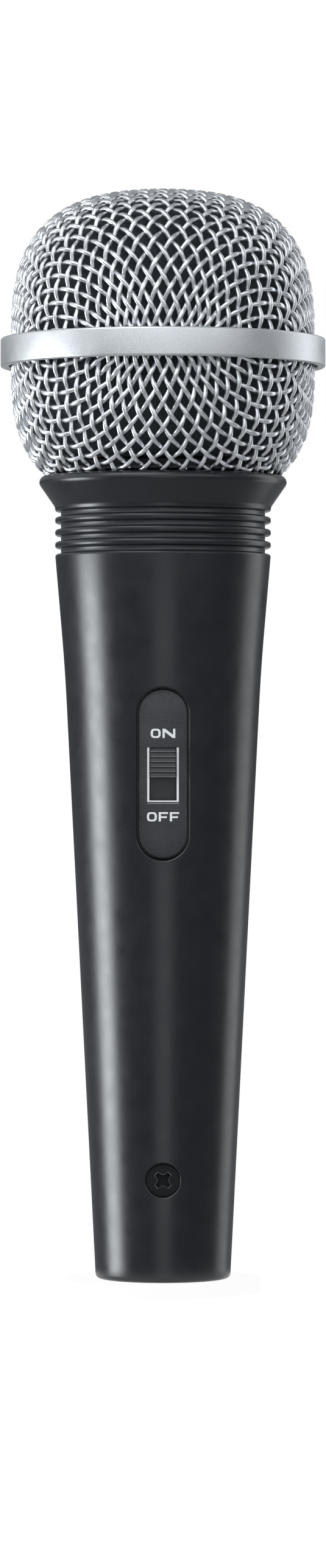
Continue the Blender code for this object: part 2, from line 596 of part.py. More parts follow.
def build_cartridge(looks):
    """Moving-coil cartridge in its rubber mount."""
    mount = [
        (MOUNT_BORE, LEDGE_Z - MOUNT_DEPTH),
        (MOUNT_RADIUS, LEDGE_Z - MOUNT_DEPTH),
        (MOUNT_RADIUS, LEDGE_Z + FIT_GAP),
        (RING_RADIUS, LEDGE_Z + FIT_GAP),
        (RING_RADIUS, MOUNT_TOP_Z),
        (MOUNT_BORE, MOUNT_TOP_Z),
    ]
    turned("shock_mount", mount, looks["rubber"], RING_STEPS)
    body = [
        (CAPSULE_BORE, REAR_Z),
        (CAPSULE_NECK, REAR_Z),
        (CAPSULE_NECK, HEAD_Z),
        (CAPSULE_HEAD, HEAD_Z),
        (CAPSULE_HEAD, RIM_Z),
        (MOTOR_BORE, RIM_Z),
        (MOTOR_BORE, YOKE_Z - FIT_GAP),
        (CAPSULE_BORE, YOKE_Z - FIT_GAP),
    ]
    capsule = turned("capsule_body", body, looks["plastic"])
    port_z = HEAD_Z + CAPSULE_SHOULDER / 2
    port = rectangle(PORT_WIDTH, PORT_HEIGHT, (0.0, port_z))
    for order in range(PORTS):
        cutter = prism(f"port_{order}", port, "y", CAPSULE_BORE / 2, 2 * CAPSULE_HEAD)
        cutter.rotation_euler.z = math.tau * order / PORTS
        combine(capsule, cutter)
    turned("capsule_rear_cover", tube(0.0, CAPSULE_NECK, COVER_Z, COVER_Z + REAR_COVER), looks["plastic"])
    well = MOTOR_RADIUS - YOKE_WALL
    magnet = well - MAGNET_GAP
    yoke = [
        (0.0, YOKE_Z),
        (MOTOR_RADIUS, YOKE_Z),
        (MOTOR_RADIUS, PLATE_Z - FIT_GAP),
        (well, PLATE_Z - FIT_GAP),
        (well, YOKE_Z + YOKE_BASE),
        (0.0, YOKE_Z + YOKE_BASE),
    ]
    turned("yoke", yoke, looks["iron"])
    turned("magnet", tube(0.0, magnet, MAGNET_Z, MAGNET_Z + MAGNET_HEIGHT), looks["magnet"])
    turned("pole_piece", tube(0.0, magnet, POLE_Z, GAP_TOP_Z), looks["iron"])
    near, far = magnet + FIT_GAP, magnet + FIT_GAP + COIL_WALL
    turned("voice_coil", tube(near, far, COIL_TOP_Z - COIL_HEIGHT, COIL_TOP_Z), looks["copper"])
    turned("top_plate", tube(far + FIT_GAP, MOTOR_RADIUS, PLATE_Z, GAP_TOP_Z), looks["iron"])
    rim = MOTOR_RADIUS - DIAPHRAGM_RIM
    turned("diaphragm_ring", tube(rim, MOTOR_RADIUS, GAP_TOP_Z + FIT_GAP, COIL_TOP_Z), looks["plastic"])
    skin, peak = DIAPHRAGM_SKIN, SKIN_Z + DIAPHRAGM_RISE
    coil = (near + far) / 2
    fold = (coil + rim) / 2
    under = [(0.0, peak), (0.6 * coil, SKIN_Z + 0.7 * DIAPHRAGM_RISE), (coil, SKIN_Z)]
    under += [(fold, SKIN_Z + 0.4 * DIAPHRAGM_RISE), (rim, SKIN_Z), (MOTOR_RADIUS, SKIN_Z)]
    turned("diaphragm", under + [(r, z + skin) for r, z in under[::-1]], looks["film"])
    cap_top = CAP_Z + CAP_HEIGHT
    cap = [
        (0.0, cap_top - CAP_TOP),
        (MOTOR_BORE, cap_top - CAP_TOP),
        (MOTOR_BORE, CAP_Z),
        (CAPSULE_HEAD, CAP_Z),
        (CAPSULE_HEAD, cap_top),
        (0.0, cap_top),
    ]
    front = turned("front_cap", cap, looks["plastic"])
    for order in range(CAP_HOLES):
        angle = math.tau * (order / CAP_HOLES + 0.5 / SMALL_STEPS)
        reach = CAP_HOLE_SPREAD * MOTOR_BORE
        hole = disc(CAP_HOLE_RADIUS, (reach * math.cos(angle), reach * math.sin(angle)), 8)
        combine(front, prism(f"cap_hole_{order}", hole, "z", CAP_Z, cap_top + CAP_TOP))
    felt = cap_top - CAP_TOP - FIT_GAP
    turned("front_felt", tube(0.0, MOTOR_RADIUS, felt - FELT, felt), looks["felt"])
    foot = COVER_Z - FIT_GAP
    for name, side in (("hot", -1), ("cold", 1)):
        middle = (side * TERMINAL_SPREAD / 2, TERMINAL_SETBACK)
        tab = rectangle(TERMINAL_WIDTH, TERMINAL_SHEET, middle)
        prism(f"capsule_terminal_{name}", tab, "z", foot - TERMINAL_LENGTH, foot, looks["brass"])


def build_switch(seat, looks):
    """Slide switch behind its plate; every depth runs inwards along the seat's Y."""
    outline = stadium(PLATE_WIDTH - 2 * FIT_GAP, PLATE_HEIGHT - 2 * FIT_GAP)
    plate = prism("switch_plate", outline, "y", PLATE_RECESS, SKIRT_BACK, looks["grain"], seat)
    hollow = stadium(PLATE_WIDTH - 2 * FIT_GAP - 2 * PLATE_RIM, PLATE_HEIGHT - 2 * FIT_GAP - 2 * PLATE_RIM)
    combine(plate, prism("plate_hollow", hollow, "y", PLATE_BACK, POCKET_DEPTH, None, seat))
    window = rectangle(WINDOW_WIDTH, WINDOW_HEIGHT)
    combine(plate, prism("plate_window", window, "y", -PLATE_BACK, POCKET_DEPTH, None, seat))

    crest = PLATE_RECESS - BUTTON_RISE
    pitch = BUTTON_HEIGHT / BUTTON_RIBS
    top = BUTTON_REST + BUTTON_HEIGHT / 2
    ridges = []
    for rib in range(BUTTON_RIBS):
        ridges.append((crest, top - rib * pitch))
        ridges.append((crest, top - (rib + 0.5) * pitch))
        ridges.append((crest + BUTTON_RIB_DEPTH, top - (rib + 0.75) * pitch))
    low = top - BUTTON_HEIGHT
    side = ridges + [(crest + BUTTON_RIB_DEPTH, low), (SKIRT_BACK, low), (SKIRT_BACK, top)]
    half = BUTTON_WIDTH / 2
    button = prism("switch_button", side, "x", -half, half, looks["button"], seat)
    reach = TRAVEL + BUTTON_HEIGHT + 2 * SKIRT_COVER
    cover = rectangle(WINDOW_WIDTH + 2 * SKIRT_COVER, reach + TRAVEL, (0.0, BUTTON_REST))
    combine(button, prism("skirt", cover, "y", SKIRT_FRONT, SKIRT_BACK, None, seat), "UNION")
    stem = rectangle(STEM_WIDTH, STEM_HEIGHT, (0.0, BUTTON_REST))
    combine(button, prism("stem", stem, "y", (SKIRT_FRONT + SKIRT_BACK) / 2, STEM_END, None, seat), "UNION")

    sheet = rectangle(FRAME_WIDTH, 2 * SCREW_OFFSET + 4 * SWITCH_SCREW_HEAD)
    frame = prism("switch_frame", sheet, "y", FRAME_FRONT, FRAME_FRONT + FRAME_SHEET, looks["steel"], seat)
    can = rectangle(FRAME_WIDTH - 2 * SKIRT_SHEET, CAN_HEIGHT)
    combine(frame, prism("can", can, "y", FRAME_FRONT + FRAME_SHEET / 2, CAN_BACK, None, seat), "UNION")
    inner_width = FRAME_WIDTH - 2 * SKIRT_SHEET - 2 * FRAME_SHEET
    inner = rectangle(inner_width, CAN_HEIGHT - 2 * FRAME_SHEET)
    combine(frame, prism("can_hollow", inner, "y", FRAME_FRONT + FRAME_SHEET, 2 * CAN_BACK, None, seat))
    slot = rectangle(STEM_WIDTH + 2 * FIT_GAP, SLOT_HEIGHT)
    combine(frame, prism("can_slot", slot, "y", 0.0, CAN_BACK - BASE_SHEET, None, seat))

    bridge = rectangle(inner_width - 2 * FIT_GAP, TRAVEL + 2 * TERMINAL_SHEET, (0.0, BUTTON_REST))
    prism("switch_contact", bridge, "y", STEM_END + FIT_GAP, CONTACT_BACK, looks["brass"], seat)
    board = rectangle(inner_width - 2 * FIT_GAP, CAN_HEIGHT - 2 * FRAME_SHEET - 2 * FIT_GAP)
    base = prism("switch_base", board, "y", BASE_FRONT, BASE_FRONT + BASE_SHEET, looks["board"], seat)
    for order in range(3):
        middle = (0.0, (1 - order) * TRAVEL)
        lug = rectangle(LUG_WIDTH, TERMINAL_SHEET, middle)
        prism(f"switch_terminal_{order + 1}", lug, "y", LUG_FRONT, LUG_BACK, looks["brass"], seat)
        slit = rectangle(LUG_WIDTH + 2 * FIT_GAP, TERMINAL_SHEET + 2 * FIT_GAP, middle)
        combine(base, prism(f"lug_slit_{order}", slit, "y", LUG_FRONT, 2 * CAN_BACK, None, seat))

    for name, end in (("upper", 1), ("lower", -1)):
        middle = (0.0, end * SCREW_OFFSET)
        head = disc(SWITCH_SCREW_HEAD, middle)
        screw = prism(f"switch_screw_{name}", head, "y", SKIRT_FRONT, SKIRT_BACK, looks["steel"], seat)
        shank = disc(SWITCH_SCREW_RADIUS, middle, 8)
        neck, tip = (SKIRT_FRONT + SKIRT_BACK) / 2, FRAME_FRONT + 3 * FRAME_SHEET
        combine(screw, prism(f"shank_{name}", shank, "y", neck, tip, None, seat), "UNION")
        hole = disc(SWITCH_SCREW_RADIUS + FIT_GAP, middle, 8)
        combine(frame, prism(f"ear_hole_{name}", hole, "y", 0.0, CAN_BACK, None, seat))


def build_connector(looks):
    """Three-pin inlet in the end of the handle and the screw that keeps it there."""
    radius = SOCKET_RADIUS - FIT_GAP
    insert = turned("connector_insert", tube(0.0, radius, SOCKET_DEPTH, INSERT_TOP_Z), looks["plastic"])
    tip, tail = SOCKET_DEPTH - PIN_REACH, INSERT_TOP_Z + PIN_TAIL
    nose = 0.5 * PIN_RADIUS
    pin = [(0.0, tip), (nose, tip), (PIN_RADIUS, tip + nose), (PIN_RADIUS, tail), (0.0, tail)]
    spots = ((-PIN_CIRCLE, 0.0), (PIN_CIRCLE, 0.0), (0.0, PIN_CIRCLE))
    for order, (x, y) in enumerate(spots, 1):
        contact = turned(f"contact_pin_{order}", pin, looks["silver"], PIN_STEPS)
        contact.location = (x, y, 0.0)
        hole = disc(PIN_RADIUS + FIT_GAP, (x, y))
        combine(insert, prism(f"pin_hole_{order}", hole, "z", 0.0, 2 * INSERT_TOP_Z))
    bite = -radius + SCREW_BITE
    well = disc(SCREW_RADIUS + FIT_GAP, (0.0, SCREW_Z))
    combine(insert, prism("screw_well", well, "y", -2 * radius, bite + FIT_GAP))

    front = -handle_radius(SCREW_Z) + SCREW_SINK
    head = disc(SCREW_HEAD_RADIUS, (0.0, SCREW_Z), SMALL_STEPS)
    screw = prism("connector_screw", head, "y", front, front + SCREW_HEAD, looks["screw"])
    shank = disc(SCREW_RADIUS, (0.0, SCREW_Z))
    combine(screw, prism("screw_shank", shank, "y", front + SCREW_HEAD / 2, bite), "UNION")
    arm, side = CROSS_LENGTH / 2, CROSS_WIDTH / 2
    corners = [(arm, -side), (arm, side), (side, side), (side, arm), (-side, arm), (-side, side)]
    cross = corners + [(-u, -v) for u, v in corners]
    turn = math.sqrt(0.5)
    cross = [((u - v) * turn, (u + v) * turn + SCREW_Z) for u, v in cross]
    combine(screw, prism("screw_cross", cross, "y", 2 * front, front + CROSS_DEPTH))

    low, high = INSERT_TOP_Z + FIT_GAP, CAVITY_Z + FIT_GAP
    far = math.sqrt((handle_radius(CAVITY_Z) - HANDLE_WALL) ** 2 - (SPRING_WIDTH / 2) ** 2) - 2 * FIT_GAP
    near = SOCKET_RADIUS - STOP_DEPTH - 2 * FIT_GAP
    sheet = SPRING_SHEET
    strip = [
        (PIN_RADIUS - PIN_CIRCLE + 2 * FIT_GAP, low),
        (PIN_RADIUS - PIN_CIRCLE + 2 * FIT_GAP, low + sheet),
        (-near + sheet, low + sheet),
        (-near + sheet, high + sheet),
        (-far, high + sheet),
        (-far, high),
        (-near, high),
        (-near, low),
    ]
    half = SPRING_WIDTH / 2
    strip = prism("ground_spring", strip, "y", -half, half, looks["brass"])
    combine(strip, prism("spring_hole", disc(PIN_RADIUS + FIT_GAP, spots[0]), "z", 0.0, 2 * INSERT_TOP_Z))


def build_leads(seat, looks):
    """Insulated leads, each from one terminal to the next."""
    bpy.context.view_layer.update()
    foot = COVER_Z - 2 * FIT_GAP - TERMINAL_LENGTH
    hot = Vector((-TERMINAL_SPREAD / 2, TERMINAL_SETBACK, foot))
    cold = Vector((TERMINAL_SPREAD / 2, TERMINAL_SETBACK, foot))
    upper = seat.matrix_world @ Vector((0.0, LUG_BACK + FIT_GAP, TRAVEL))
    middle = seat.matrix_world @ Vector((0.0, LUG_BACK + FIT_GAP, 0.0))
    tail = INSERT_TOP_Z + PIN_TAIL + FIT_GAP
    pin_2, pin_3 = Vector((PIN_CIRCLE, 0.0, tail)), Vector((0.0, PIN_CIRCLE, tail))
    out, down, back = Vector((0, LEAD_BOW, 0)), Vector((0, 0, -LEAD_DROP)), Vector((0, LEAD_CLEAR, 0))
    routes = (
        ("lead_capsule_hot", hot, hot + down, upper + out, upper, looks["red"]),
        ("lead_switch_hot", middle, middle + out, pin_2 - 3 * down, pin_2, looks["red"]),
        ("lead_capsule_cold", cold, cold + 3 * down + back, pin_3 - 3 * down + back, pin_3, looks["white"]),
    )
    for name, start, leave, arrive, stop, material in routes:
        bm = bmesh.new()
        points = []
        for step in range(11):
            t = step / 10
            spot = (1 - t) ** 3 * start + 3 * t * (1 - t) ** 2 * leave
            points.append(np.array(spot + 3 * t * t * (1 - t) * arrive + t**3 * stop))
        sweep(bm, points, [np.array((1.0, 0.0, 0.0))] * len(points), LEAD_RADIUS, 6)
        place(name, bm, material)


def main():
    for item in list(bpy.data.objects):
        bpy.data.objects.remove(item)
    looks = {
        "paint": finish("handle_paint", (0.018, 0.019, 0.022), 0.38),
        "wire": finish("bright_wire", (0.74, 0.75, 0.77), 0.28, 1.0),
        "band": finish("satin_band", (0.68, 0.69, 0.7), 0.4, 1.0),
        "steel": finish("plated_steel", (0.5, 0.5, 0.5), 0.35, 1.0),
        "foam": finish("black_foam", (0.012, 0.012, 0.014), 0.95),
        "rubber": finish("black_rubber", (0.02, 0.02, 0.02), 0.8),
        "plastic": finish("black_plastic", (0.03, 0.03, 0.032), 0.5),
        "iron": finish("soft_iron", (0.4, 0.39, 0.38), 0.4, 1.0),
        "magnet": finish("magnet_alloy", (0.3, 0.3, 0.31), 0.45, 1.0),
        "copper": finish("copper_winding", (0.72, 0.35, 0.18), 0.35, 1.0),
        "film": finish("clear_film", (0.75, 0.72, 0.62), 0.3),
        "felt": finish("grey_felt", (0.08, 0.08, 0.085), 0.95),
        "brass": finish("tinned_brass", (0.7, 0.62, 0.42), 0.35, 1.0),
        "silver": finish("silver_pin", (0.8, 0.8, 0.78), 0.25, 1.0),
        "grain": finish("grained_plate", (0.05, 0.052, 0.056), 0.75),
        "button": finish("button_plastic", (0.02, 0.02, 0.022), 0.5),
        "board": finish("phenolic_board", (0.2, 0.11, 0.05), 0.6),
        "screw": finish("black_screw", (0.025, 0.025, 0.027), 0.4, 1.0),
        "red": finish("red_lead", (0.5, 0.03, 0.03), 0.5),
        "white": finish("white_lead", (0.7, 0.7, 0.68), 0.5),
    }
    seat = bpy.data.objects.new("switch_seat", None)
    seat.location = (0.0, -handle_radius(SWITCH_Z), SWITCH_Z)
    seat.rotation_euler.x = math.atan(TAPER)
    bpy.context.scene.collection.objects.link(seat)
    build_handle(seat, looks)
    build_grille(looks)
    build_cartridge(looks)
    build_switch(seat, looks)
    build_connector(looks)
    build_leads(seat, looks)


main()
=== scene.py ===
import math

import bmesh
import bpy
import numpy as np
from mathutils import Matrix, Vector, noise


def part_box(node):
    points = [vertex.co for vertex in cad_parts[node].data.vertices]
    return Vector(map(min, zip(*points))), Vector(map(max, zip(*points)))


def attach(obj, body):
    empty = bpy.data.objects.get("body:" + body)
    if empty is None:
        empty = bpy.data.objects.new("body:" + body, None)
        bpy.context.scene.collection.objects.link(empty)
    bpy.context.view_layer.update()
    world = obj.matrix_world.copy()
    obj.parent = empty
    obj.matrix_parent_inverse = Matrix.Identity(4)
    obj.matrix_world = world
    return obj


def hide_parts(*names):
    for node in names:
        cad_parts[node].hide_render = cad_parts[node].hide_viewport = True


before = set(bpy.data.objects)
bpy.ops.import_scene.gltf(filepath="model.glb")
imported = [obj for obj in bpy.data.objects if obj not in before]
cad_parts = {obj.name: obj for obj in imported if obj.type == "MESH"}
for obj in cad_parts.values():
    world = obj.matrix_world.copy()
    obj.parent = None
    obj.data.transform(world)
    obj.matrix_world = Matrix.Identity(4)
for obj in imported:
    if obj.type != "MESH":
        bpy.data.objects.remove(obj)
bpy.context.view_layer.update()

MM = 0.001

# Camera, level and in front of the axis
CAMERA_DISTANCE = 920 * MM
CAMERA_HEIGHT = 81.1 * MM
PICTURE_HEIGHT = 257.6 * MM  # what the picture takes in at the axis
SENSOR_WIDTH = 36.0

# Handle
END_RADIUS = 11.05 * MM
END_EDGE = 0.9 * MM
KNEE_Z = 100.0 * MM
KNEE_RADIUS = 16.1 * MM
KNEE_BLEND = 6.0 * MM
BODY_TOP_Z = 118.9 * MM
BODY_TOP_RADIUS = 17.7 * MM
GRIP_RIBS = 3
GRIP_RIB_WIDTH = 1.27 * MM
GRIP_GROOVE_WIDTH = 0.76 * MM
GRIP_GROOVE_DEPTH = 0.95 * MM
GRIP_EDGE = 0.42 * MM
GROOVE_EDGE = 0.2 * MM
GRIP_SLANT = 0.14 * MM  # each side of a grip rib leans by this much
FLARE_LAND = 0.75 * MM
FLARE_EDGE = 1.1 * MM
FLARE_SLOPE = 34.7  # degrees out from the axis
HANDLE_WALL = 2.4 * MM
BORE_RADIUS = 14.65 * MM
THREAD_RADIUS = 16.35 * MM
LEDGE_Z = 126.6 * MM
MOUNT_FOOT_Z = 113.3 * MM
SOCKET_RADIUS = 8.2 * MM
SOCKET_EDGE = 0.4 * MM
STOP_DEPTH = 0.9 * MM
CAVITY_Z = 27.8 * MM
CATCH_WIDTH = 4.4 * MM
CATCH_HEIGHT = 2.5 * MM
CATCH_DEPTH = 0.9 * MM
CATCH_RISE = 4.5 * MM
CATCH_CORNER = 0.3 * MM
CUT_EDGE = 0.3 * MM  # rolled rim of the pocket and the screw sink
RIM_TURN = 65  # degrees of the rim that are rolled
RIM_RISE = 0.5  # how far the cut goes on past the surface, as a share of the rim

# Grille
BALL_SQUARENESS = 2.8  # exponent of the ball's outline: 2 is an ellipse
DOME_HEIGHT = 24.25 * MM
BOWL_HEIGHT = 22.8 * MM  # down to the point where the bowl would close
BAND_OVERHANG = 1.7 * MM
BAND_EDGE = 0.4 * MM
BAND_WALL = 1.25 * MM
WIRE_DIAMETER = 0.8 * MM
WIRE_LIFT = 0.37 * MM  # over and under the middle of the cloth
CREST_PRESS = 0.12 * MM  # how far the outer crests are rolled flat
MESH_PITCH = 2.22 * MM
CLOTH_STRETCH = 0.085  # lengthening of the cells between the two wires through the pole
CLOTH_DRIFT = 0.27  # how evenly the shear is spread
RIM_CELLS = 3  # cells of straight cloth past the rim of each half
HEM_HEIGHT = 0.8 * MM
HEM_EDGE = 0.2 * MM
HEM_COVER = 1.05  # depth of a hem, as a share of the depth of the cloth
BOWL_GAP = 0.05 * MM  # between the wires and the handle
FOAM_GAP = 0.7 * MM
FOAM_THICKNESS = 1.4 * MM
FOAM_CELL = 0.9 * MM
FOAM_FINE = 2.3  # fine cells to a cell
FOAM_BUMP = 0.22 * MM

# Ring under the bowl, with ends and profile of its thread as shares of the pitch
RING_LIFT = 0.3 * MM  # of its lip over the handle
RING_LIP = 0.6 * MM
RING_NECK = 1.0 * MM
RING_WALL = 1.2 * MM
RING_EDGE = 0.2 * MM
RING_FOOT_EDGE = 0.15 * MM
LIP_INSET = 1.4 * MM  # inside the wires
THREAD_PITCH = 1.0 * MM
THREAD_CREST = 0.25 * MM
THREAD_ROOT = 0.1  # sunk into the ring, as a share of the crest
THREAD_FOOT = 0.45
THREAD_FLAT = 0.08
THREAD_END = 0.6
THREAD_FADE = 6.0  # each end of the thread runs out in a turn over this

# Switch, with depths measured inwards from the front of the handle
SWITCH_Z = 82.7 * MM
PLATE_WIDTH = 8.45 * MM
PLATE_HEIGHT = 28.0 * MM
PLATE_GAP = 0.3 * MM
PLATE_RECESS = 0.95 * MM
PLATE_BACK = 1.95 * MM
PLATE_EDGE = 0.25 * MM
WINDOW_WIDTH = 4.5 * MM
WINDOW_HEIGHT = 8.5 * MM
WINDOW_CORNER = 0.25 * MM
POCKET_DEPTH = 3.05 * MM
PAD_WIDTH = 12.0 * MM
PAD_BACK = 4.4 * MM
BUTTON_WIDTH = 4.1 * MM
BUTTON_HEIGHT = 4.6 * MM
BUTTON_TOP = 4.1 * MM  # above the middle of the window
BUTTON_RISE = 0.6 * MM
BUTTON_RIBS = 6
RIB_PITCH = 0.808 * MM
RIB_DEPTH = 0.3 * MM
RIB_LAND = 0.13 * MM  # painted highlight along the foot of each rib
SKIRT_FRONT = 2.25 * MM
SKIRT_BACK = 2.75 * MM
SKIRT_COVER = 0.6 * MM
SKIRT_CORNER = 0.3 * MM
LINE_WIDTH = 0.34 * MM
LINE_GAP = 0.05 * MM
FOOT_LINE = 0.22 * MM
SHADE_LINE = 0.13 * MM
SHADE_CORNER = 0.03 * MM
INK = 0.03 * MM

# Letters, with the parts of each as shares of its height, stroke or width
LETTER_HEIGHT = 1.5 * MM
LETTER_WIDTHS = {"O": 1.07, "N": 1.38, "F": 1.0}
LETTER_STROKE = 0.36 * MM
LETTER_BAR = 0.29 * MM
LETTER_SPACE = 0.3 * MM
O_CORNER = 0.42
O_HOLLOW = 0.22
N_NOTCH = 0.66
N_FOOT = 1.2
F_ARM = 0.36
F_REACH = 0.88
ON_HEIGHT = 6.55 * MM  # middle of the word above the middle of the window
OFF_HEIGHT = -6.96 * MM

# Screw and plug pins
SCREW_Z = 16.8 * MM
SCREW_HEAD_RADIUS = 2.72 * MM
SCREW_HEAD = 1.4 * MM
SCREW_SINK = 0.5 * MM
SCREW_GAP = 0.05 * MM
SCREW_CROWN = 0.12 * MM
CROSS_REACH = 1.48 * MM
CROSS_END = 0.7 * MM
CROSS_FLAT = 0.92 * MM  # from the middle to the flats between the arms
CROSS_DEPTH = 0.9 * MM
CROSS_HIGHLIGHT = 1.055  # painted highlight round the recess, as a share of it
PIN_RADIUS = 1.2 * MM
INSERT_EDGE = 0.3 * MM

# Finishes
METAL = 1.0
CLOUD_GRAINS = 20  # size of the slow drift of colour and gloss, in grains
CLOUD_DETAIL = 4.0
SHADE_RANGE = (0.35, 0.65)  # noise over which the colour goes from dark to light
GLOSS_DRIFT = 0.16

# Studio
LAMP_TINT = (0.93, 0.97, 1.0)
AIR_LOW = (0.06, 0.063, 0.067)
AIR_HIGH = (0.33, 0.34, 0.355)
AIR_RISE = (0.0, 0.16)  # sine of the height over which the air turns pale
AIR_SINK = (-0.05, -0.03)  # and of the drop over which it takes the tone of the floor
AIR_FOOT = 0.7
STAND_RADIUS = 16 * MM
STAND_THICKNESS = 2 * MM
STAND_GAP = 0.05 * MM  # under the end of the handle
POST_RADIUS = 2 * MM
FLOOR_LEVEL = -0.8
FLOOR_RADIUS = 12.0
BACKDROP_Y = 4.6  # further away than a camera that looks from behind
BACKDROP_REACH = 0.8
BACKDROP_TOP = 1.0

# Facets
TURN_STEPS = 160
PIN_STEPS = 40
SCREW_STEPS = 64
CROWN_STEPS = 12
FELT_STEPS = 96
SLOT_STEPS = 32  # round each end of a slot
PROFILE_STEPS = 800  # along the outline of a half of the ball
FOAM_DOME_ROWS = 44
FOAM_BOWL_ROWS = 21
WIRE_SIDES = 10
WIRE_STEPS = 5  # from one crossing to the next
EDGE_STEPS = 6
RIM_STEPS = 4
EASED_ANGLE = 40  # degrees from which an edge counts as sharp

# Places read off the frame
HANDLE_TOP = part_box("handle")[1]
BAND_LOW, BAND_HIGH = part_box("grille_band")
RING_LOW, RING_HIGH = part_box("grille_ring")
FOAM_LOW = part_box("foam_liner")[0]
INSERT_LOW, INSERT_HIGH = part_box("connector_insert")
FELT_LOW, FELT_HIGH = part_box("front_felt")

# Sizes worked out from those above
TAPER = (KNEE_RADIUS - END_RADIUS) / KNEE_Z
GROOVE_RADIUS = BODY_TOP_RADIUS - GRIP_GROOVE_DEPTH
NECK_TOP_Z = BODY_TOP_Z + GRIP_RIBS * GRIP_RIB_WIDTH + (GRIP_RIBS + 1) * GRIP_GROOVE_WIDTH
CLOTH_FRONT = WIRE_LIFT + WIRE_DIAMETER / 2 - CREST_PRESS
CLOTH_BACK = WIRE_LIFT + WIRE_DIAMETER / 2
BALL_RADIUS = BAND_HIGH.x - BAND_OVERHANG - CLOTH_FRONT
LENS = SENSOR_WIDTH * CAMERA_DISTANCE / PICTURE_HEIGHT


def handle_radius(height):
    """Outer radius of the lower taper."""
    return END_RADIUS + TAPER * height


# The switch's own frame, level with the front of the taper, and the same with X and Y changed over
SEAT = (
    Matrix.Translation((0, -handle_radius(SWITCH_Z), SWITCH_Z))
    @ Matrix.Rotation(math.atan(TAPER), 4, "X")
)
SIDE_SEAT = SEAT @ Matrix(((0, 1, 0, 0), (1, 0, 0, 0), (0, 0, 1, 0), (0, 0, 0, 1)))


class Field:
    """A value that changes over a surface: the output of a shader node.

    Arithmetic on it adds Math nodes to the same tree, and any other node comes from add().
    """

    def __init__(self, socket):
        self.socket = socket

    def add(self, kind, settings, sockets, output=0):
        """Add a node: its settings first, then the values or links of its sockets."""
        tree = self.socket.id_data
        node = tree.nodes.new(f"ShaderNode{kind}")
        for key, value in settings.items():
            setattr(node, key, value)
        for key, value in sockets.items():
            if isinstance(value, Field):
                tree.links.new(value.socket, node.inputs[key])
            else:
                node.inputs[key].default_value = value
        return Field(node.outputs[output])

    def maths(self, operation, first, second):
        return self.add("Math", {"operation": operation}, {0: first, 1: second})

    def __add__(self, other):
        return self.maths("ADD", self, other)

    def __sub__(self, other):
        return self.maths("SUBTRACT", self, other)

    def __rsub__(self, other):
        return self.maths("SUBTRACT", other, self)

    def __mul__(self, other):
        return self.maths("MULTIPLY", self, other)

    __radd__ = __add__
    __rmul__ = __mul__

    def noise(self, size, detail=2.0):
        """Soft noise with lumps of this size."""
        return self.add("TexNoise", {}, {"Vector": self, "Scale": 1 / size, "Detail": detail})

    def step(self, low, high):
        """Ramp from 0 at low to 1 at high."""
        return self.add("MapRange", {}, {"Value": self, "From Min": low, "From Max": high})

    def tint(self, first, second):
        """Colour between two colours."""
        colours = {"Factor": self, "A": (*first, 1.0), "B": (*second, 1.0)}
        return self.add("Mix", {"data_type": "RGBA"}, colours, 2)

    def cover(self, mask, colour):
        """This colour, with another one over it where the mask is 1."""
        colours = {"Factor": mask, "A": self, "B": (*colour, 1.0)}
        return self.add("Mix", {"data_type": "RGBA"}, colours, 2)

    def bump(self, depth):
        """Normal of a surface with this much relief."""
        return self.add("Bump", {}, {"Height": self, "Distance": depth})


def in_grooves(spot):
    """1 deep in the grip grooves of the handle, 0 elsewhere: where painted light lifts the shade of the
    grooves.
    """
    flat = spot.add("VectorMath", {"operation": "MULTIPLY"}, {0: spot, 1: (1.0, 1.0, 0.0)})
    radius = spot.add("VectorMath", {"operation": "LENGTH"}, {0: flat}, 1)
    height = spot.add("SeparateXYZ", {}, {"Vector": spot}, 2)
    above = height.step(BODY_TOP_Z - GRIP_EDGE, BODY_TOP_Z)
    below = 1 - height.step(NECK_TOP_Z, NECK_TOP_Z + GRIP_EDGE)
    deep = 1 - radius.step(GROOVE_RADIUS + GROOVE_EDGE, BODY_TOP_RADIUS)
    return deep * above * below


def finish(
    name, dark, light, rough, metallic=0.0,
    grain=0.3 * MM, relief=0.004 * MM, specular=0.5, speckle=0.5, groove_light=None,
):
    """Material whose colour drifts between two shades, with a fine grain in its gloss and relief.

    Speckle is the share of the fine grain in the colour. A paler colour may be painted over the grip
    grooves as painted light that lifts their shade.
    """
    material = bpy.data.materials.new(name)
    material.use_nodes = True
    tree = material.node_tree
    shader = tree.nodes["Principled BSDF"]
    shader.inputs["Metallic"].default_value = metallic
    shader.inputs["Specular IOR Level"].default_value = specular
    spot = Field(tree.nodes.new("ShaderNodeTexCoord").outputs["Object"])
    fine = spot.noise(grain)
    cloud = spot.noise(CLOUD_GRAINS * grain, CLOUD_DETAIL)
    colour = (speckle * fine + (1 - speckle) * cloud).step(*SHADE_RANGE).tint(dark, light)
    # Painted light: a paler colour over the grip grooves, lifting their shade.
    if groove_light:
        colour = colour.cover(in_grooves(spot), groove_light)
    varied = {
        "Base Color": colour,
        "Roughness": rough - GLOSS_DRIFT / 2 + GLOSS_DRIFT * cloud,
        "Normal": fine.bump(relief),
    }
    for socket, field in varied.items():
        tree.links.new(field.socket, shader.inputs[socket])
    return material


def arc(centre, radius, first, last, count):
    """Points of an arc, with its angles in degrees."""
    angles = np.radians(np.linspace(first, last, count + 1))
    return [(centre[0] + radius * math.cos(a), centre[1] + radius * math.sin(a)) for a in angles]


def blended(corners):
    """Closed outline through (x, y, blend) corners, each rounded over that length of its two sides."""
    outline = []
    spots = [np.array(corner[:2]) for corner in corners]
    for order, (_, _, blend) in enumerate(corners):
        spot = spots[order]
        if blend == 0:
            outline.append(tuple(spot))
            continue
        ends = []
        for side in (spots[order - 1], spots[(order + 1) % len(spots)]):
            length = np.linalg.norm(side - spot)
            ends.append(spot + (side - spot) * min(blend / length, 0.5))
        for t in np.linspace(0.0, 1.0, EDGE_STEPS + 1):
            outline.append(tuple((1 - t) ** 2 * ends[0] + 2 * t * (1 - t) * spot + t * t * ends[1]))
    return outline


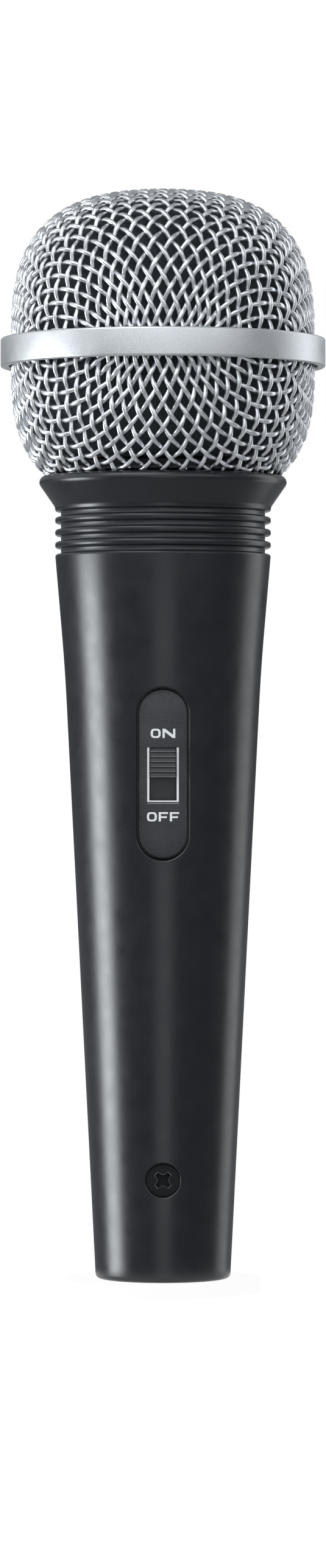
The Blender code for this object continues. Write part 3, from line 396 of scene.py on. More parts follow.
def stadium(width, height):
    """Outline of an upright slot with round ends."""
    middle = (height - width) / 2
    top = arc((0, middle), width / 2, 0, 180, SLOT_STEPS)
    return top + arc((0, -middle), width / 2, 180, 360, SLOT_STEPS)


def slab(width, height, corner, middle=(0.0, 0.0)):
    """Outline of a rectangle with round corners."""
    x, y = middle
    ways = ((-1, -1), (1, -1), (1, 1), (-1, 1))
    return blended([(x + a * width / 2, y + b * height / 2, corner) for a, b in ways])


def section(inner, outer, low, high, edges=(0.0, 0.0, 0.0, 0.0)):
    """Outline of a rectangular section, as (radius, height) points.

    Its corners are rounded by the edges in turn: inner low, outer low, outer high and inner high.
    """
    corners = ((inner, low), (outer, low), (outer, high), (inner, high))
    return blended([(*corner, edge) for corner, edge in zip(corners, edges)])


class Stock:
    """Points and faces of one piece while it is being made."""

    def __init__(self):
        self.points = []
        self.faces = []

    def add(self, points, faces, place=None):
        """Add a shape, moved into its place."""
        start = len(self.points)
        self.points += [place @ Vector(p) if place else Vector(p) for p in points]
        self.faces += [[start + k for k in face] for face in faces]
        return self

    def rows(self, points, width, loop):
        """Add rows of points, each row a ring of this width, skinned from row to row.

        A loop of rows closes on itself, and other rows get a face on each end.
        """
        count = len(points) // width
        ends = [(k, (k + 1) % width) for k in range(width)]
        faces = []
        for row in range(count if loop else count - 1):
            near, far = row * width, (row + 1) % count * width
            faces += [(near + a, near + b, far + b, far + a) for a, b in ends]
        if not loop:
            faces += [range(width)[::-1], range((count - 1) * width, count * width)]
        return self.add(points, faces)

    def turn(self, outline, steps=TURN_STEPS):
        """Add a closed outline of (radius, height) points turned about Z."""
        points = []
        for angle in np.arange(steps) * math.tau / steps:
            points += [(r * math.cos(angle), r * math.sin(angle), z) for r, z in outline]
        return self.rows(points, len(outline), True)

    def prism(self, outline, start, stop, place=None):
        """Add an outline of (x, z) points, extruded along Y."""
        points = [(x, y, z) for y in (start, stop) for x, z in outline]
        block = Stock().rows(points, len(outline), False)
        return self.add(block.points, block.faces, place)

    def frame(self, outer, inner, start, stop, place=None):
        """Add the ring between two outlines with as many points, extruded along Y."""
        points = []
        for (x, z), (u, w) in zip(outer, inner):
            points += [(x, start, z), (x, stop, z), (u, stop, w), (u, start, w)]
        ring = Stock().rows(points, 4, True)
        return self.add(ring.points, ring.faces, place)

    def bar(self, points, normals, lift):
        """Add a round wire along points of a cloth, lifted along its normals, its crests rolled flat."""
        wire = points + lift[:, None] * normals
        along = np.gradient(wire, axis=0)
        along /= np.linalg.norm(along, axis=1)[:, None]
        up = normals - along * np.sum(normals * along, axis=1)[:, None]
        up /= np.linalg.norm(up, axis=1)[:, None]
        side = np.cross(along, up)
        turns = np.arange(WIRE_SIDES) * math.tau / WIRE_SIDES
        ring = np.cos(turns)[:, None, None] * up + np.sin(turns)[:, None, None] * side
        radius = WIRE_DIAMETER / 2
        proud = lift + radius * np.sum(ring * normals, axis=2) - CLOTH_FRONT
        skin = wire + radius * ring - np.maximum(proud, 0.0)[:, :, None] * normals
        return self.rows(skin.transpose(1, 0, 2).reshape(-1, 3), WIRE_SIDES, False)

    def moved(self, place):
        """The same shape in another place."""
        return Stock().add(self.points, self.faces, place)

    def solid(self):
        """The shape as a bmesh, with points on the axis merged and the normals outwards."""
        bm = bmesh.new()
        points = [bm.verts.new(point) for point in self.points]
        for face in self.faces:
            bm.faces.new([points[k] for k in face])
        bmesh.ops.remove_doubles(bm, verts=bm.verts, dist=1e-7)
        bmesh.ops.recalc_face_normals(bm, faces=bm.faces)
        return bm


def loose(bm):
    """A plain object from a bmesh, outside the model."""
    mesh = bpy.data.meshes.new("loose")
    bm.to_mesh(mesh)
    bm.free()
    item = bpy.data.objects.new("loose", mesh)
    bpy.context.scene.collection.objects.link(item)
    return item


def carved(stock, *tools):
    """Shape left after each tool is cut out or joined on: tools are (operation, Stock)."""
    items = [loose(stock.solid())]
    for operation, tool in tools:
        items.append(loose(tool.solid()))
        step = items[0].modifiers.new("carve", "BOOLEAN")
        step.operation = operation
        step.solver = "EXACT"
        step.object = items[-1]
    view = bpy.context.evaluated_depsgraph_get()
    bm = bmesh.new()
    bm.from_mesh(items[0].evaluated_get(view).to_mesh())
    for item in items:
        bpy.data.meshes.remove(item.data)
    return bm


def eased(bm, chosen, width):
    """Take a small chamfer off the sharp edges that are chosen by their middle."""
    sharp = [
        edge
        for edge in bm.edges
        if len(edge.link_faces) == 2
        and edge.calc_face_angle() > math.radians(EASED_ANGLE)
        and chosen((edge.verts[0].co + edge.verts[1].co) / 2)
    ]
    points = {point for edge in sharp for point in edge.verts}
    bmesh.ops.remove_doubles(bm, verts=list(points), dist=width / 2)
    sharp = [edge for edge in sharp if edge.is_valid]
    bmesh.ops.bevel(bm, geom=sharp, offset=width, segments=2, profile=0.5, affect="EDGES")


def piece(name, bm, material, body, slot, *nodes, sharp=25):
    """Show a bmesh as a piece that rides on a body and stands for CAD nodes."""
    mesh = bpy.data.meshes.new(name)
    bm.to_mesh(mesh)
    bm.free()
    mesh.polygons.foreach_set("use_smooth", [True] * len(mesh.polygons))
    mesh.set_sharp_from_angle(angle=math.radians(sharp))
    mesh.materials.append(material)
    item = bpy.data.objects.new(name, mesh)
    bpy.context.scene.collection.objects.link(item)
    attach(item, body)
    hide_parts(*nodes)
    return item


class Half:
    """Half of the ball: a squared ellipse of revolution that goes on as a straight tube past its rim."""

    def __init__(self, height, rim, way):
        self.height, self.rim, self.way = height, rim, way
        bend = np.linspace(0.0, math.pi / 2, PROFILE_STEPS)
        power = 2 / BALL_SQUARENESS
        self.radii = np.append(BALL_RADIUS * np.sin(bend) ** power, BALL_RADIUS)
        self.rises = np.append(height * np.cos(bend) ** power, -RIM_CELLS * MESH_PITCH)
        steps = np.hypot(np.diff(self.radii), np.diff(self.rises))
        self.arcs = np.concatenate([[0.0], np.cumsum(steps)])

    def net(self, i, j):
        """Where wires i of one set cross wires j of the other, and which of these are on the shell.

        Flat cloth pressed over a ball keeps its pitch along the two wires through the pole. Between them
        it shears, and the cells get longer along the slope.
        """
        flat = MESH_PITCH * np.hypot(i, j)
        turn = np.arctan2(j, i)
        length = flat * (1 + CLOTH_STRETCH * (flat / BALL_RADIUS) ** 2 * (1 - np.cos(4 * turn)) / 2)
        radius = np.interp(length, self.arcs, self.radii)
        rise = np.interp(length, self.arcs, self.rises)
        shear = (length / np.maximum(radius, 1e-6) - 1) / (4 + 8 * CLOTH_DRIFT)
        shear = np.where(flat > 0, shear, 0.0)
        turn = turn + shear * (np.sin(4 * turn) + CLOTH_DRIFT * np.sin(8 * turn)) + math.pi / 4
        height = self.rim + self.way * rise
        points = np.stack([radius * np.cos(turn), radius * np.sin(turn), height], axis=-1)
        return points, length <= self.arcs[-1]

    def normals(self, points):
        """Outward normals at points of the shell."""
        out = np.hypot(points[:, 0], points[:, 1])
        up = np.maximum(self.way * (points[:, 2] - self.rim), 0.0) / self.height
        radial = (out / BALL_RADIUS) ** (BALL_SQUARENESS - 1) / BALL_RADIUS / np.maximum(out, 1e-9)
        axial = self.way * up ** (BALL_SQUARENESS - 1) / self.height
        normals = np.stack([points[:, 0] * radial, points[:, 1] * radial, axial], axis=-1)
        return normals / np.linalg.norm(normals, axis=1)[:, None]

    def radius(self, height, offset):
        """Radius at a height, moved inwards by the offset."""
        rise = max(self.way * (height - self.rim), 0.0) / (self.height - offset)
        return (BALL_RADIUS - offset) * (1 - min(rise, 1.0) ** BALL_SQUARENESS) ** (1 / BALL_SQUARENESS)

    def profile(self, offset, low, count):
        """(radius, height) points from a height towards the pole, moved inwards by the offset."""
        top = self.rim + self.way * (self.height - offset)
        bends = np.sin(np.linspace(0.0, math.pi / 2, count + 1))
        return [(self.radius(z, offset), z) for z in low + (top - low) * bends]

    def weave(self, stock, low, high):
        """Add the round wires between two heights."""
        count = int(self.arcs[-1] / MESH_PITCH)
        steps = np.linspace(-count, count, 2 * count * WIRE_STEPS + 1)
        for lane in range(-count, count + 1):
            for side in (1, -1):
                lanes = np.full_like(steps, lane)
                points, shown = self.net(lanes, steps) if side > 0 else self.net(steps, lanes)
                shown &= (points[:, 2] > low) & (points[:, 2] < high)
                normals = self.normals(points)
                lift = side * (-1) ** lane * np.cos(math.pi * steps) * WIRE_LIFT
                edges = np.flatnonzero(np.diff(np.concatenate([[0], shown, [0]])))
                for start, stop in zip(edges[::2], edges[1::2]):
                    if stop - start > WIRE_STEPS:
                        stock.bar(points[start:stop], normals[start:stop], lift[start:stop])
        return stock


def handle_outline():
    """Closed outline of the handle: up its outer side and down its bore."""
    corners = [
        (END_RADIUS, 0.0, END_EDGE),
        (KNEE_RADIUS, KNEE_Z, KNEE_BLEND),
        (BODY_TOP_RADIUS, BODY_TOP_Z - GRIP_SLANT, GRIP_EDGE),
        (GROOVE_RADIUS, BODY_TOP_Z, GROOVE_EDGE),
    ]
    for rib in range(GRIP_RIBS):
        foot = BODY_TOP_Z + GRIP_GROOVE_WIDTH + rib * (GRIP_RIB_WIDTH + GRIP_GROOVE_WIDTH)
        corners += [
            (GROOVE_RADIUS, foot, GROOVE_EDGE),
            (BODY_TOP_RADIUS, foot + GRIP_SLANT, GRIP_EDGE),
            (BODY_TOP_RADIUS, foot + GRIP_RIB_WIDTH - GRIP_SLANT, GRIP_EDGE),
            (GROOVE_RADIUS, foot + GRIP_RIB_WIDTH, GROOVE_EDGE),
        ]
    corners += [
        (GROOVE_RADIUS, NECK_TOP_Z, GROOVE_EDGE),
        (BODY_TOP_RADIUS, NECK_TOP_Z + GRIP_SLANT / 2, GRIP_EDGE),
        (BODY_TOP_RADIUS, NECK_TOP_Z + FLARE_LAND, GRIP_EDGE),
    ]
    middle = (HANDLE_TOP.x - FLARE_EDGE, HANDLE_TOP.z - FLARE_EDGE)
    mouth = arc(middle, FLARE_EDGE, -FLARE_SLOPE, 90, 2 * EDGE_STEPS)
    corners += [(r, z, 0.0) for r, z in mouth]
    corners += [
        (THREAD_RADIUS, HANDLE_TOP.z, 0.0),
        (THREAD_RADIUS, LEDGE_Z, 0.0),
        (BORE_RADIUS, LEDGE_Z, 0.0),
        (BORE_RADIUS, MOUNT_FOOT_Z, 0.0),
        (KNEE_RADIUS - HANDLE_WALL, KNEE_Z, 0.0),
        (handle_radius(CAVITY_Z) - HANDLE_WALL, CAVITY_Z, 0.0),
        (SOCKET_RADIUS - STOP_DEPTH, CAVITY_Z, 0.0),
        (SOCKET_RADIUS - STOP_DEPTH, INSERT_HIGH.z, 0.0),
        (SOCKET_RADIUS, INSERT_HIGH.z, 0.0),
        (SOCKET_RADIUS, 0.0, SOCKET_EDGE),
    ]
    return blended(corners)


def sunk(outline, floor, place):
    """Tool for a hollow in the front of the handle, with a rolled rim that follows the round surface."""
    spots = np.array(outline)
    along = np.roll(spots, -1, axis=0) - np.roll(spots, 1, axis=0)
    out = np.stack([along[:, 1], -along[:, 0]], axis=1) / np.linalg.norm(along, axis=1)[:, None]
    points = [(x, floor, z) for x, z in outline]
    bends = np.radians(np.linspace(0, RIM_TURN, RIM_STEPS + 1))
    rings = [(1 - math.cos(bend), 1 - math.sin(bend)) for bend in bends]
    reach, depth = rings[-1]
    rings.append((reach + math.tan(bends[-1]) * (depth + RIM_RISE), -RIM_RISE))
    for reach, depth in rings:
        for x, z in spots + reach * CUT_EDGE * out:
            spot = place @ Vector((x, 0.0, z))
            front = -math.sqrt(handle_radius(spot.z) ** 2 - x * x) - spot.y
            points.append((x, front + depth * CUT_EDGE, z))
    points += [(x, -PLATE_WIDTH, z) for x, _, z in points[-len(outline):]]
    return Stock().rows(points, len(outline), False).moved(place)


def make_handle(paint):
    """Turned and painted handle with its switch pocket, screw sink and plug catch."""
    pad = Stock().prism(slab(PAD_WIDTH, PLATE_HEIGHT, 0.0), PLATE_BACK, PAD_BACK, SEAT)
    pocket = sunk(stadium(PLATE_WIDTH, PLATE_HEIGHT), POCKET_DEPTH, SEAT)
    place = Matrix.Translation((0, -handle_radius(SCREW_Z), SCREW_Z))
    head = arc((0, 0), SCREW_HEAD_RADIUS + SCREW_GAP, 0, 360, SCREW_STEPS)[:-1]
    sink = sunk(head, SCREW_SINK + SCREW_HEAD + SCREW_GAP, place)
    catch = slab(CATCH_WIDTH, CATCH_HEIGHT, CATCH_CORNER, (0.0, CATCH_RISE + CATCH_HEIGHT / 2))
    slot = Stock().prism(catch, -SOCKET_RADIUS - CATCH_DEPTH, -SOCKET_RADIUS / 2)
    stock = Stock().turn(handle_outline())
    cuts = [("DIFFERENCE", tool) for tool in (pocket, sink, slot)]
    bm = carved(stock, ("UNION", pad), *cuts)
    piece("painted_handle", bm, paint, "housing", "handle_paint", "handle", sharp=22)


def make_grille(wire, band, steel):
    """Woven dome and bowl, the band that joins them and the threaded ring under them."""
    dome = Half(DOME_HEIGHT - CLOTH_FRONT, BAND_HIGH.z, 1)
    bowl = Half(BOWL_HEIGHT - CLOTH_FRONT, BAND_LOW.z, -1)
    middle = (BAND_LOW.z + BAND_HIGH.z) / 2
    tuck = (BAND_HIGH.z - BAND_LOW.z) / 4
    for name, half, low, high, hem in (
        ("dome", dome, middle + tuck, BAND_HIGH.z + DOME_HEIGHT, middle + tuck),
        ("bowl", bowl, HANDLE_TOP.z + BOWL_GAP, middle - tuck, middle - tuck),
    ):
        stock = half.weave(Stock(), low, high)
        near = half.radius(hem, HEM_COVER * CLOTH_BACK)
        far = half.radius(hem, -HEM_COVER * CLOTH_FRONT)
        stock.turn(section(near, far, hem - HEM_HEIGHT / 2, hem + HEM_HEIGHT / 2, [HEM_EDGE] * 4))
        piece(f"wire_{name}", stock.solid(), wire, "grille", "bright_wire", f"grille_{name}", sharp=60)
    inner = BAND_HIGH.x - BAND_WALL
    hoop = section(inner, BAND_HIGH.x, BAND_LOW.z, BAND_HIGH.z, [BAND_EDGE] * 4)
    piece("ball_band", Stock().turn(hoop).solid(), band, "grille", "satin_band", "grille_band")
    make_ring(steel)
    make_foam(dome, bowl)


def make_ring(steel):
    """Ring under the bowl, with the screw thread that goes into the handle's mouth."""
    root = THREAD_RADIUS - 2 * THREAD_CREST
    lip = HANDLE_TOP.z + RING_LIFT
    reach = RING_HIGH.x - LIP_INSET
    bore = root - RING_WALL
    corners = [
        (bore, RING_LOW.z, 0.0),
        (root, RING_LOW.z, RING_FOOT_EDGE),
        (root, lip, 0.0),
        (reach, lip, RING_EDGE),
        (reach, lip + RING_LIP, RING_EDGE),
        (root + RING_NECK, lip + RING_LIP, 0.0),
        (root + RING_NECK, RING_HIGH.z, RING_EDGE),
        (bore, RING_HIGH.z, 0.0),
    ]
    stock = Stock().turn(blended(corners))
    turns = (lip - RING_LOW.z) / THREAD_PITCH - 2 * THREAD_END
    points = []
    for t in np.linspace(0.0, turns, int(turns * TURN_STEPS)):
        fade = min(1.0, THREAD_FADE * t, THREAD_FADE * (turns - t))
        z = RING_LOW.z + (t + THREAD_END) * THREAD_PITCH
        angle = t * math.tau
        ridge = [(-THREAD_ROOT, -THREAD_FOOT), (fade, -THREAD_FLAT)]
        ridge += [(fade, THREAD_FLAT), (-THREAD_ROOT, THREAD_FOOT)]
        for out, rise in ridge:
            radius = root + out * THREAD_CREST
            points.append((radius * math.cos(angle), radius * math.sin(angle), z + rise * THREAD_PITCH))
    stock.rows(points, 4, False)
    piece("thread_ring", stock.solid(), steel, "grille", "plated_steel", "grille_ring")


def make_foam(dome, bowl):
    """Open-cell foam that lines the wires, its cells pushed into the surface."""
    foam = finish(
        "open_foam", (0.022, 0.028, 0.035), (0.052, 0.062, 0.074), 0.9,
        grain=0.35 * MM, relief=0.2 * MM,
    )
    heights = np.linspace(FOAM_LOW.z, BAND_LOW.z, FOAM_BOWL_ROWS + 1)[:-1]
    sides = []
    for offset in (CLOTH_BACK + FOAM_GAP, CLOTH_BACK + FOAM_GAP + FOAM_THICKNESS):
        side = [(bowl.radius(z, offset), z) for z in heights]
        sides.append(side + dome.profile(offset, BAND_LOW.z, FOAM_DOME_ROWS))
    stock = Stock().turn(sides[0] + sides[1][::-1])
    bm = stock.solid()
    bm.normal_update()
    for point in bm.verts:
        cell = point.co / FOAM_CELL
        lumps = noise.noise(cell) + 0.5 * noise.noise(cell * FOAM_FINE)
        point.co += point.normal * FOAM_BUMP * lumps
    item = piece("foam_lining", bm, foam, "foam", "black_foam", "foam_liner", sharp=180)


def make_switch(plate_finish, button_finish, white, lip_edge_light, painted_highlight):
    """Grained switch plate with its lines and letters, and the ribbed button in its window."""
    width, height = PLATE_WIDTH - 2 * PLATE_GAP, PLATE_HEIGHT - 2 * PLATE_GAP
    window = Stock().prism(slab(WINDOW_WIDTH, WINDOW_HEIGHT, WINDOW_CORNER), 0.0, POCKET_DEPTH, SEAT)
    plate = Stock().prism(stadium(width, height), PLATE_RECESS, PLATE_BACK, SEAT)
    bm = carved(plate, ("DIFFERENCE", window))
    flat = SEAT.inverted()
    eased(bm, lambda spot: (flat @ spot).y < PLATE_RECESS + PLATE_EDGE / 4, PLATE_EDGE)
    piece("switch_cover", bm, plate_finish, "housing", "grained_plate", "switch_plate")

    ink = (PLATE_RECESS - INK, PLATE_RECESS + INK, SEAT)
    lines = Stock()
    reach = WINDOW_WIDTH / 2 + PLATE_EDGE + LINE_GAP
    foot = -WINDOW_HEIGHT / 2 - PLATE_EDGE - LINE_GAP
    length = WINDOW_HEIGHT / 2 - foot
    for way in (-1, 1):
        middle = (way * (reach - LINE_WIDTH / 2), foot + length / 2)
        lines.prism(slab(LINE_WIDTH, length, LINE_WIDTH / 4, middle), *ink)
    inside = 2 * (reach - LINE_WIDTH)
    lines.prism(slab(inside, FOOT_LINE, 0.0, (0.0, foot + FOOT_LINE / 2)), *ink)
    write(lines, "ON", ON_HEIGHT, ink)
    write(lines, "OFF", OFF_HEIGHT, ink)
    piece("switch_marks", lines.solid(), white, "housing", "grained_plate")
    # A grey line under the foot line is painted light on the lower lip of the slot.
    shade = slab(2 * reach, SHADE_LINE, SHADE_CORNER, (0.0, foot - 2 * SHADE_LINE))
    piece("switch_foot_line", Stock().prism(shade, *ink).solid(), lip_edge_light, "housing", "grained_plate")
    make_button(button_finish, painted_highlight)


def write(stock, word, height, ink):
    """Add plain block letters, side by side about the middle of the plate."""
    tall, stroke, bar = LETTER_HEIGHT, LETTER_STROKE, LETTER_BAR
    widths = [LETTER_WIDTHS[letter] * tall for letter in word]
    x = -(sum(widths) + LETTER_SPACE * (len(word) - 1)) / 2
    low = height - tall / 2
    for letter, wide in zip(word, widths):
        if letter == "O":
            middle = (x + wide / 2, height)
            outer = slab(wide, tall, O_CORNER * tall, middle)
            inner = slab(wide - 2 * stroke, tall - 2 * bar, O_HOLLOW * tall, middle)
            stock.frame(outer, inner, *ink)
        elif letter == "N":
            outline = [(0, 0), (stroke, 0), (stroke, N_NOTCH * tall)]
            outline += [(wide - N_FOOT * stroke, 0), (wide, 0)]
            outline += [(wide - a, tall - b) for a, b in outline]
            stock.prism([(x + a, low + b) for a, b in outline], *ink)
        else:
            arm, reach = F_ARM * tall, F_REACH * wide
            outline = [(0, 0), (stroke, 0), (stroke, arm), (reach, arm)]
            outline += [(reach, arm + bar), (stroke, arm + bar), (stroke, tall - bar)]
            outline += [(wide, tall - bar), (wide, tall), (0, tall)]
            stock.prism([(x + a, low + b) for a, b in outline], *ink)
        x += wide + LETTER_SPACE


def make_button(button_finish, painted_highlight):
    """Slide button: a block with stepped ribs, a painted highlight along the foot of each, on a skirt that
    closes the window.
    """
    crest = PLATE_RECESS - BUTTON_RISE
    valley = crest + RIB_DEPTH
    top, low = BUTTON_TOP, BUTTON_TOP - BUTTON_HEIGHT
    side = [(SKIRT_FRONT, top), (valley, top)]
    edges = Stock()
    for rib in range(BUTTON_RIBS):
        foot = low + (BUTTON_RIBS - 1 - rib) * RIB_PITCH
        side += [(crest, foot + RIB_LAND), (crest, foot), (valley, foot)]
        land = slab(BUTTON_WIDTH, RIB_LAND, RIB_LAND / 3, (0.0, foot + RIB_LAND / 2))
        # A pale strip at the foot of each rib is a painted highlight.
        edges.prism(land, crest - INK, crest + INK, SEAT)
    outline = side + [(SKIRT_FRONT, low)]
    block = Stock().prism(outline, -BUTTON_WIDTH / 2, BUTTON_WIDTH / 2, SIDE_SEAT)
    travel = WINDOW_HEIGHT - BUTTON_HEIGHT
    skirt = slab(
        WINDOW_WIDTH + 2 * SKIRT_COVER,
        WINDOW_HEIGHT + travel + 2 * SKIRT_COVER,
        SKIRT_CORNER,
        (0.0, BUTTON_TOP - BUTTON_HEIGHT / 2),
    )
    block.prism(skirt, SKIRT_FRONT, SKIRT_BACK, SEAT)
    piece("ribbed_button", block.solid(), button_finish, "slider", "button_plastic", "switch_button")
    piece("button_edges", edges.solid(), painted_highlight, "slider", "button_plastic")


def make_screw(blackened, painted_highlight):
    """Dark screw in its sink, with a splayed cross recess and a painted highlight round it."""
    front = -handle_radius(SCREW_Z) + SCREW_SINK
    crown = arc((0.0, 0.0), SCREW_HEAD_RADIUS, 0, 90, CROWN_STEPS)
    outline = [(0.0, SCREW_HEAD), (SCREW_HEAD_RADIUS, SCREW_HEAD), (SCREW_HEAD_RADIUS, SCREW_CROWN)]
    outline += [(x, SCREW_CROWN * (1 - y / SCREW_HEAD_RADIUS)) for x, y in crown[1:-1]] + [(0.0, 0.0)]
    seat = Matrix.Translation((0, front, SCREW_Z))
    head = Stock().turn(outline, SCREW_STEPS).moved(seat @ Matrix.Rotation(-math.pi / 2, 4, "X"))
    arm = CROSS_REACH / math.sqrt(2)
    half = CROSS_END / 2 / math.sqrt(2)
    quarter = [(CROSS_FLAT, -half), (CROSS_FLAT, half)]
    quarter += [(arm + half, arm - half), (arm - half, arm + half)]
    cross = []
    for turn in np.arange(4) * math.pi / 2:
        c, s = math.cos(turn), math.sin(turn)
        cross += [(c * x - s * z, s * x + c * z) for x, z in quarter]
    bm = carved(head, ("DIFFERENCE", Stock().prism(cross, -SCREW_HEAD, CROSS_DEPTH, seat)))
    piece("cross_screw", bm, blackened, "housing", "black_screw", "connector_screw")
    # A pale ring round the cross is a painted highlight on the edge of the recess.
    brink = [(CROSS_HIGHLIGHT * x, CROSS_HIGHLIGHT * z) for x, z in cross]
    edge = Stock().frame(brink, cross, -INK / 2, 2 * INK, seat)
    piece("cross_edge", edge.solid(), painted_highlight, "housing", "black_screw")


def make_plug_end(plastic, silver):
    """Three pins with rounded tips in a moulded insert, seen from the end of the handle."""
    block = section(0.0, INSERT_HIGH.x, INSERT_LOW.z, INSERT_HIGH.z, (0.0, INSERT_EDGE, 0.0, 0.0))
    insert = Stock().turn(block)
    piece("plug_insert", insert.solid(), plastic, "housing", "black_plastic", "connector_insert")
    for order in (1, 2, 3):
        low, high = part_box(f"contact_pin_{order}")
        middle = (low + high) / 2
        tip = section(0.0, PIN_RADIUS, low.z, high.z, (0.0, PIN_RADIUS, 0.0, 0.0))
        pin = Stock().turn(tip, PIN_STEPS).moved(Matrix.Translation((middle.x, middle.y, 0.0)))
        piece(f"plug_pin_{order}", pin.solid(), silver, "housing", "silver_pin", f"contact_pin_{order}")


def make_felt():
    """Soft felt disc under the front cap."""
    felt = finish(
        "pressed_felt", (0.10, 0.10, 0.10), (0.19, 0.19, 0.18), 0.95,
        grain=0.25 * MM, relief=0.1 * MM,
    )
    edge = (FELT_HIGH.z - FELT_LOW.z) / 2
    disc = section(0.0, FELT_HIGH.x, FELT_LOW.z, FELT_HIGH.z, (0.0, edge, edge, 0.0))
    bm = Stock().turn(disc, FELT_STEPS).solid()
    item = piece("felt_disc", bm, felt, "housing", "grey_felt", "front_felt", sharp=180)


def paint_inner_pieces():
    """Give each CAD piece that is still shown a finish for its material slot."""
    looks = {
        "black_rubber": finish("mount_rubber", (0.012, 0.012, 0.012), (0.022, 0.022, 0.021), 0.75),
        "black_plastic": finish("cartridge_plastic", (0.015, 0.015, 0.016), (0.026, 0.026, 0.027), 0.45),
        "soft_iron": finish("soft_iron", (0.40, 0.39, 0.38), (0.50, 0.49, 0.47), 0.45, METAL),
        "magnet_alloy": finish("magnet_alloy", (0.30, 0.30, 0.31), (0.40, 0.40, 0.40), 0.5, METAL),
        "copper_winding": finish("copper_winding", (0.55, 0.22, 0.10), (0.70, 0.31, 0.16), 0.35, METAL),
        "clear_film": finish("diaphragm_film", (0.50, 0.46, 0.36), (0.60, 0.56, 0.46), 0.2),
        "tinned_brass": finish("tinned_brass", (0.58, 0.56, 0.50), (0.68, 0.66, 0.60), 0.35, METAL),
        "silver_pin": finish("silver_contact", (0.66, 0.66, 0.64), (0.76, 0.76, 0.74), 0.28, METAL),
        "plated_steel": finish("plated_switch_steel", (0.50, 0.50, 0.50), (0.60, 0.60, 0.60), 0.35, METAL),
        "phenolic_board": finish("phenolic_board", (0.16, 0.08, 0.03), (0.24, 0.12, 0.05), 0.5),
        "black_screw": finish("black_switch_screw", (0.02, 0.02, 0.02), (0.04, 0.04, 0.04), 0.4),
        "red_lead": finish("red_lead", (0.35, 0.02, 0.02), (0.45, 0.04, 0.03), 0.45),
        "white_lead": finish("white_lead", (0.60, 0.60, 0.58), (0.70, 0.70, 0.68), 0.45),
    }
    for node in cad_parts.values():
        if not node.hide_render:
            node.data.materials[0] = looks[node.data.materials[0].name]


def softbox(name, radiance, width, height, spot, aim, spread=180):
    """Soft lamp of a given brightness, turned towards a point and out of the camera's sight."""
    lamp = bpy.data.lights.new(name, "AREA")
    lamp.shape = "RECTANGLE"
    lamp.size, lamp.size_y = width, height
    lamp.spread = math.radians(spread)
    lamp.energy = radiance * math.pi * width * height
    lamp.color = LAMP_TINT
    item = bpy.data.objects.new(name, lamp)
    item.location = spot
    item.rotation_euler = (Vector(aim) - Vector(spot)).to_track_quat("-Z", "Y").to_euler()
    item.visible_camera = False
    bpy.context.scene.collection.objects.link(item)


def stage_white(name, glow):
    """White card that glows by this share for anything that looks at it, and keeps a soft shadow."""
    material = bpy.data.materials.new(name)
    material.use_nodes = True
    tree = material.node_tree
    tree.nodes.remove(tree.nodes["Principled BSDF"])
    rays = tree.nodes.new("ShaderNodeLightPath").outputs
    seen = Field(rays["Is Camera Ray"]) + Field(rays["Is Glossy Ray"])
    seen = seen + Field(rays["Is Transmission Ray"])
    card = seen.add("BsdfDiffuse", {}, {"Color": (0.85, 0.85, 0.85, 1.0)})
    light = seen.add("Emission", {}, {"Color": (1.0, 1.0, 1.0, 1.0), "Strength": 1.0})
    mixed = seen.add("MixShader", {}, {0: glow * seen, 1: card, 2: light})
    tree.links.new(mixed.socket, tree.nodes["Material Output"].inputs["Surface"])
    return material


def stage_piece(name, bm, material):
    """Show a bmesh as part of the studio."""
    item = loose(bm)
    item.name = name
    item.data.materials.append(material)


def upright(reach, low, high, y):
    """Upright card across the line of sight, reaching as far to the left as to the right."""
    corners = [(-reach, y, low), (reach, y, low), (reach, y, high), (-reach, y, high)]
    return Stock().add(corners, [range(4)])


def make_air():
    """World light: pale from above, dim at the horizon and in the tone of the floor below it."""
    world = bpy.data.worlds.new("studio_air")
    world.use_nodes = True
    tree = world.node_tree
    way = Field(tree.nodes.new("ShaderNodeTexCoord").outputs["Generated"])
    height = way.add("SeparateXYZ", {}, {"Vector": way}, 2)
    below = 1 - height.step(*AIR_SINK)
    shade = (height.step(*AIR_RISE) + AIR_FOOT * below).tint(AIR_LOW, AIR_HIGH)
    tree.links.new(shade.socket, tree.nodes["Background"].inputs["Color"])
    bpy.context.scene.world = world


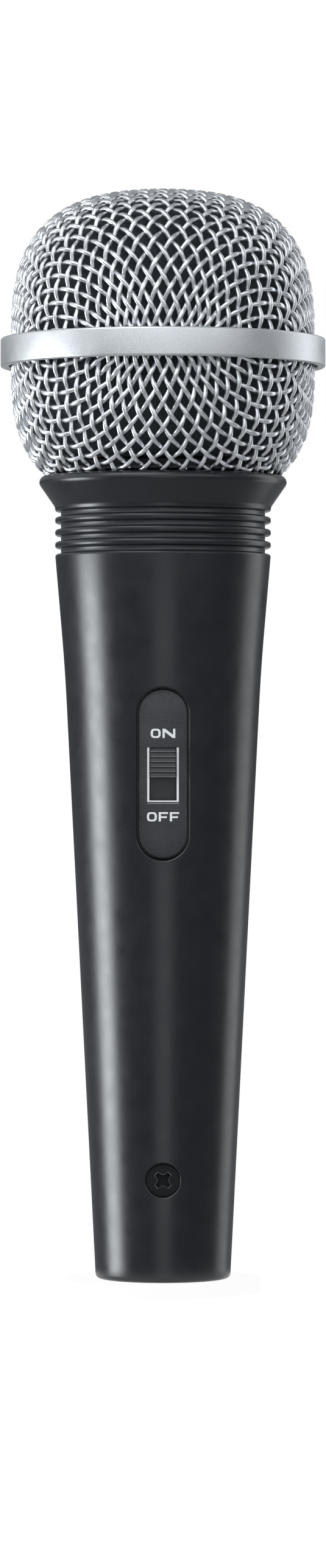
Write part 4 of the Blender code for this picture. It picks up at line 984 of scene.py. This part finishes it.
def make_studio():
    """White stand and backdrop, pale floor, soft lamps and the camera."""
    white = stage_white("studio_white", 1.0)
    shaded = stage_white("stand_white", 0.95)
    pale = finish("pale_floor", (0.66, 0.66, 0.66), (0.7, 0.7, 0.7), 0.9, grain=20 * MM, specular=0.1)
    under = -STAND_GAP - STAND_THICKNESS
    top = section(0.0, STAND_RADIUS, under, -STAND_GAP)
    post = section(0.0, POST_RADIUS, FLOOR_LEVEL, under)
    stage_piece("stand_top", Stock().turn(top).solid(), shaded)
    stage_piece("stand_post", Stock().turn(post).solid(), white)
    rim = [(x, y, FLOOR_LEVEL) for x, y in arc((0, 0), FLOOR_RADIUS, 0, 360, TURN_STEPS)[:-1]]
    stage_piece("studio_floor", Stock().add(rim, [range(TURN_STEPS)]).solid(), pale)
    card = upright(BACKDROP_REACH, FLOOR_LEVEL, BACKDROP_TOP, BACKDROP_Y)
    stage_piece("studio_backdrop", card.solid(), white)
    make_air()

    softbox("left_box", 0.64, 1.9, 0.9, (-0.95, -0.12, 0.6), (0, 0, 0.15))
    softbox("handle_strip", 1.03, 0.15, 0.26, (-0.3, -0.015, -0.005), (0, 0, 0.03), 50)
    softbox("right_back_strip", 1.48, 0.3, 0.75, (0.53, 0.28, 0.2), (0, 0, 0.2))
    softbox("front_fill", 1.2, 0.45, 0.36, (0.03, -1.15, -0.14), (0, 0, 0.06))
    softbox("front_bank", 1.08, 2.1, 0.6, (0.2, -1.0, 0.5), (0, 0, 0.12))
    softbox("upper_front_box", 2.9, 1.0, 0.55, (-0.42, -0.66, 1.0), (0, 0, 0.12))

    camera = bpy.data.objects.new("camera", bpy.data.cameras.new("camera"))
    camera.location = (0.0, -CAMERA_DISTANCE, CAMERA_HEIGHT)
    camera.rotation_euler = (math.pi / 2, 0.0, 0.0)
    camera.data.sensor_width = SENSOR_WIDTH
    camera.data.lens = LENS
    bpy.context.scene.collection.objects.link(camera)
    bpy.context.scene.camera = camera
    bpy.context.scene.view_settings.view_transform = "Standard"


def make_microphone():
    """All the pieces that stand for the CAD solids, then finishes for the rest."""
    # The grip grooves get a paler colour: painted light that lifts their shade.
    paint = finish(
        "satin_black_paint", (0.0058, 0.0072, 0.0100), (0.0086, 0.0101, 0.0134), 0.3,
        grain=0.16 * MM, relief=0.009 * MM, specular=0.56, groove_light=(0.026, 0.029, 0.034),
    )
    wire = finish(
        "bright_wire", (0.57, 0.585, 0.61), (0.96, 0.97, 0.985), 0.33, METAL,
        grain=0.17 * MM, relief=0.03 * MM,
    )
    band = finish(
        "satin_band", (0.62, 0.635, 0.65), (0.78, 0.795, 0.81), 0.42, METAL,
        grain=0.14 * MM, relief=0.022 * MM, speckle=0.9,
    )
    steel = finish("dark_ring_steel", (0.066, 0.071, 0.078), (0.082, 0.087, 0.095), 0.7, specular=0.25)
    plate = finish(
        "grained_black_plate", (0.022, 0.024, 0.027), (0.048, 0.051, 0.055), 0.42,
        grain=0.2 * MM, relief=0.075 * MM,
    )
    button = finish("button_black", (0.022, 0.023, 0.026), (0.032, 0.033, 0.036), 0.4)
    white = finish("white_ink", (0.88, 0.88, 0.87), (0.95, 0.95, 0.94), 0.6)
    # Grey for the painted light on the lower lip of the slot.
    lip_edge_light = finish("painted_lip_light", (0.22, 0.22, 0.22), (0.30, 0.30, 0.30), 0.6)
    blackened = finish(
        "blackened_screw", (0.009, 0.0095, 0.011), (0.013, 0.0135, 0.015), 0.55, specular=0.16
    )
    # Pale grey for the painted highlights on the button's ribs and round the screw's cross.
    painted_highlight = finish("painted_highlight_edge", (0.12, 0.125, 0.13), (0.2, 0.205, 0.21), 0.45)
    plastic = finish("plug_plastic", (0.012, 0.012, 0.012), (0.02, 0.02, 0.02), 0.5)
    silver = finish("silver_pins", (0.70, 0.70, 0.68), (0.80, 0.80, 0.78), 0.25, METAL)
    make_handle(paint)
    make_grille(wire, band, steel)
    make_switch(plate, button, white, lip_edge_light, painted_highlight)
    make_screw(blackened, painted_highlight)
    make_plug_end(plastic, silver)
    make_felt()
    paint_inner_pieces()


make_microphone()
make_studio()
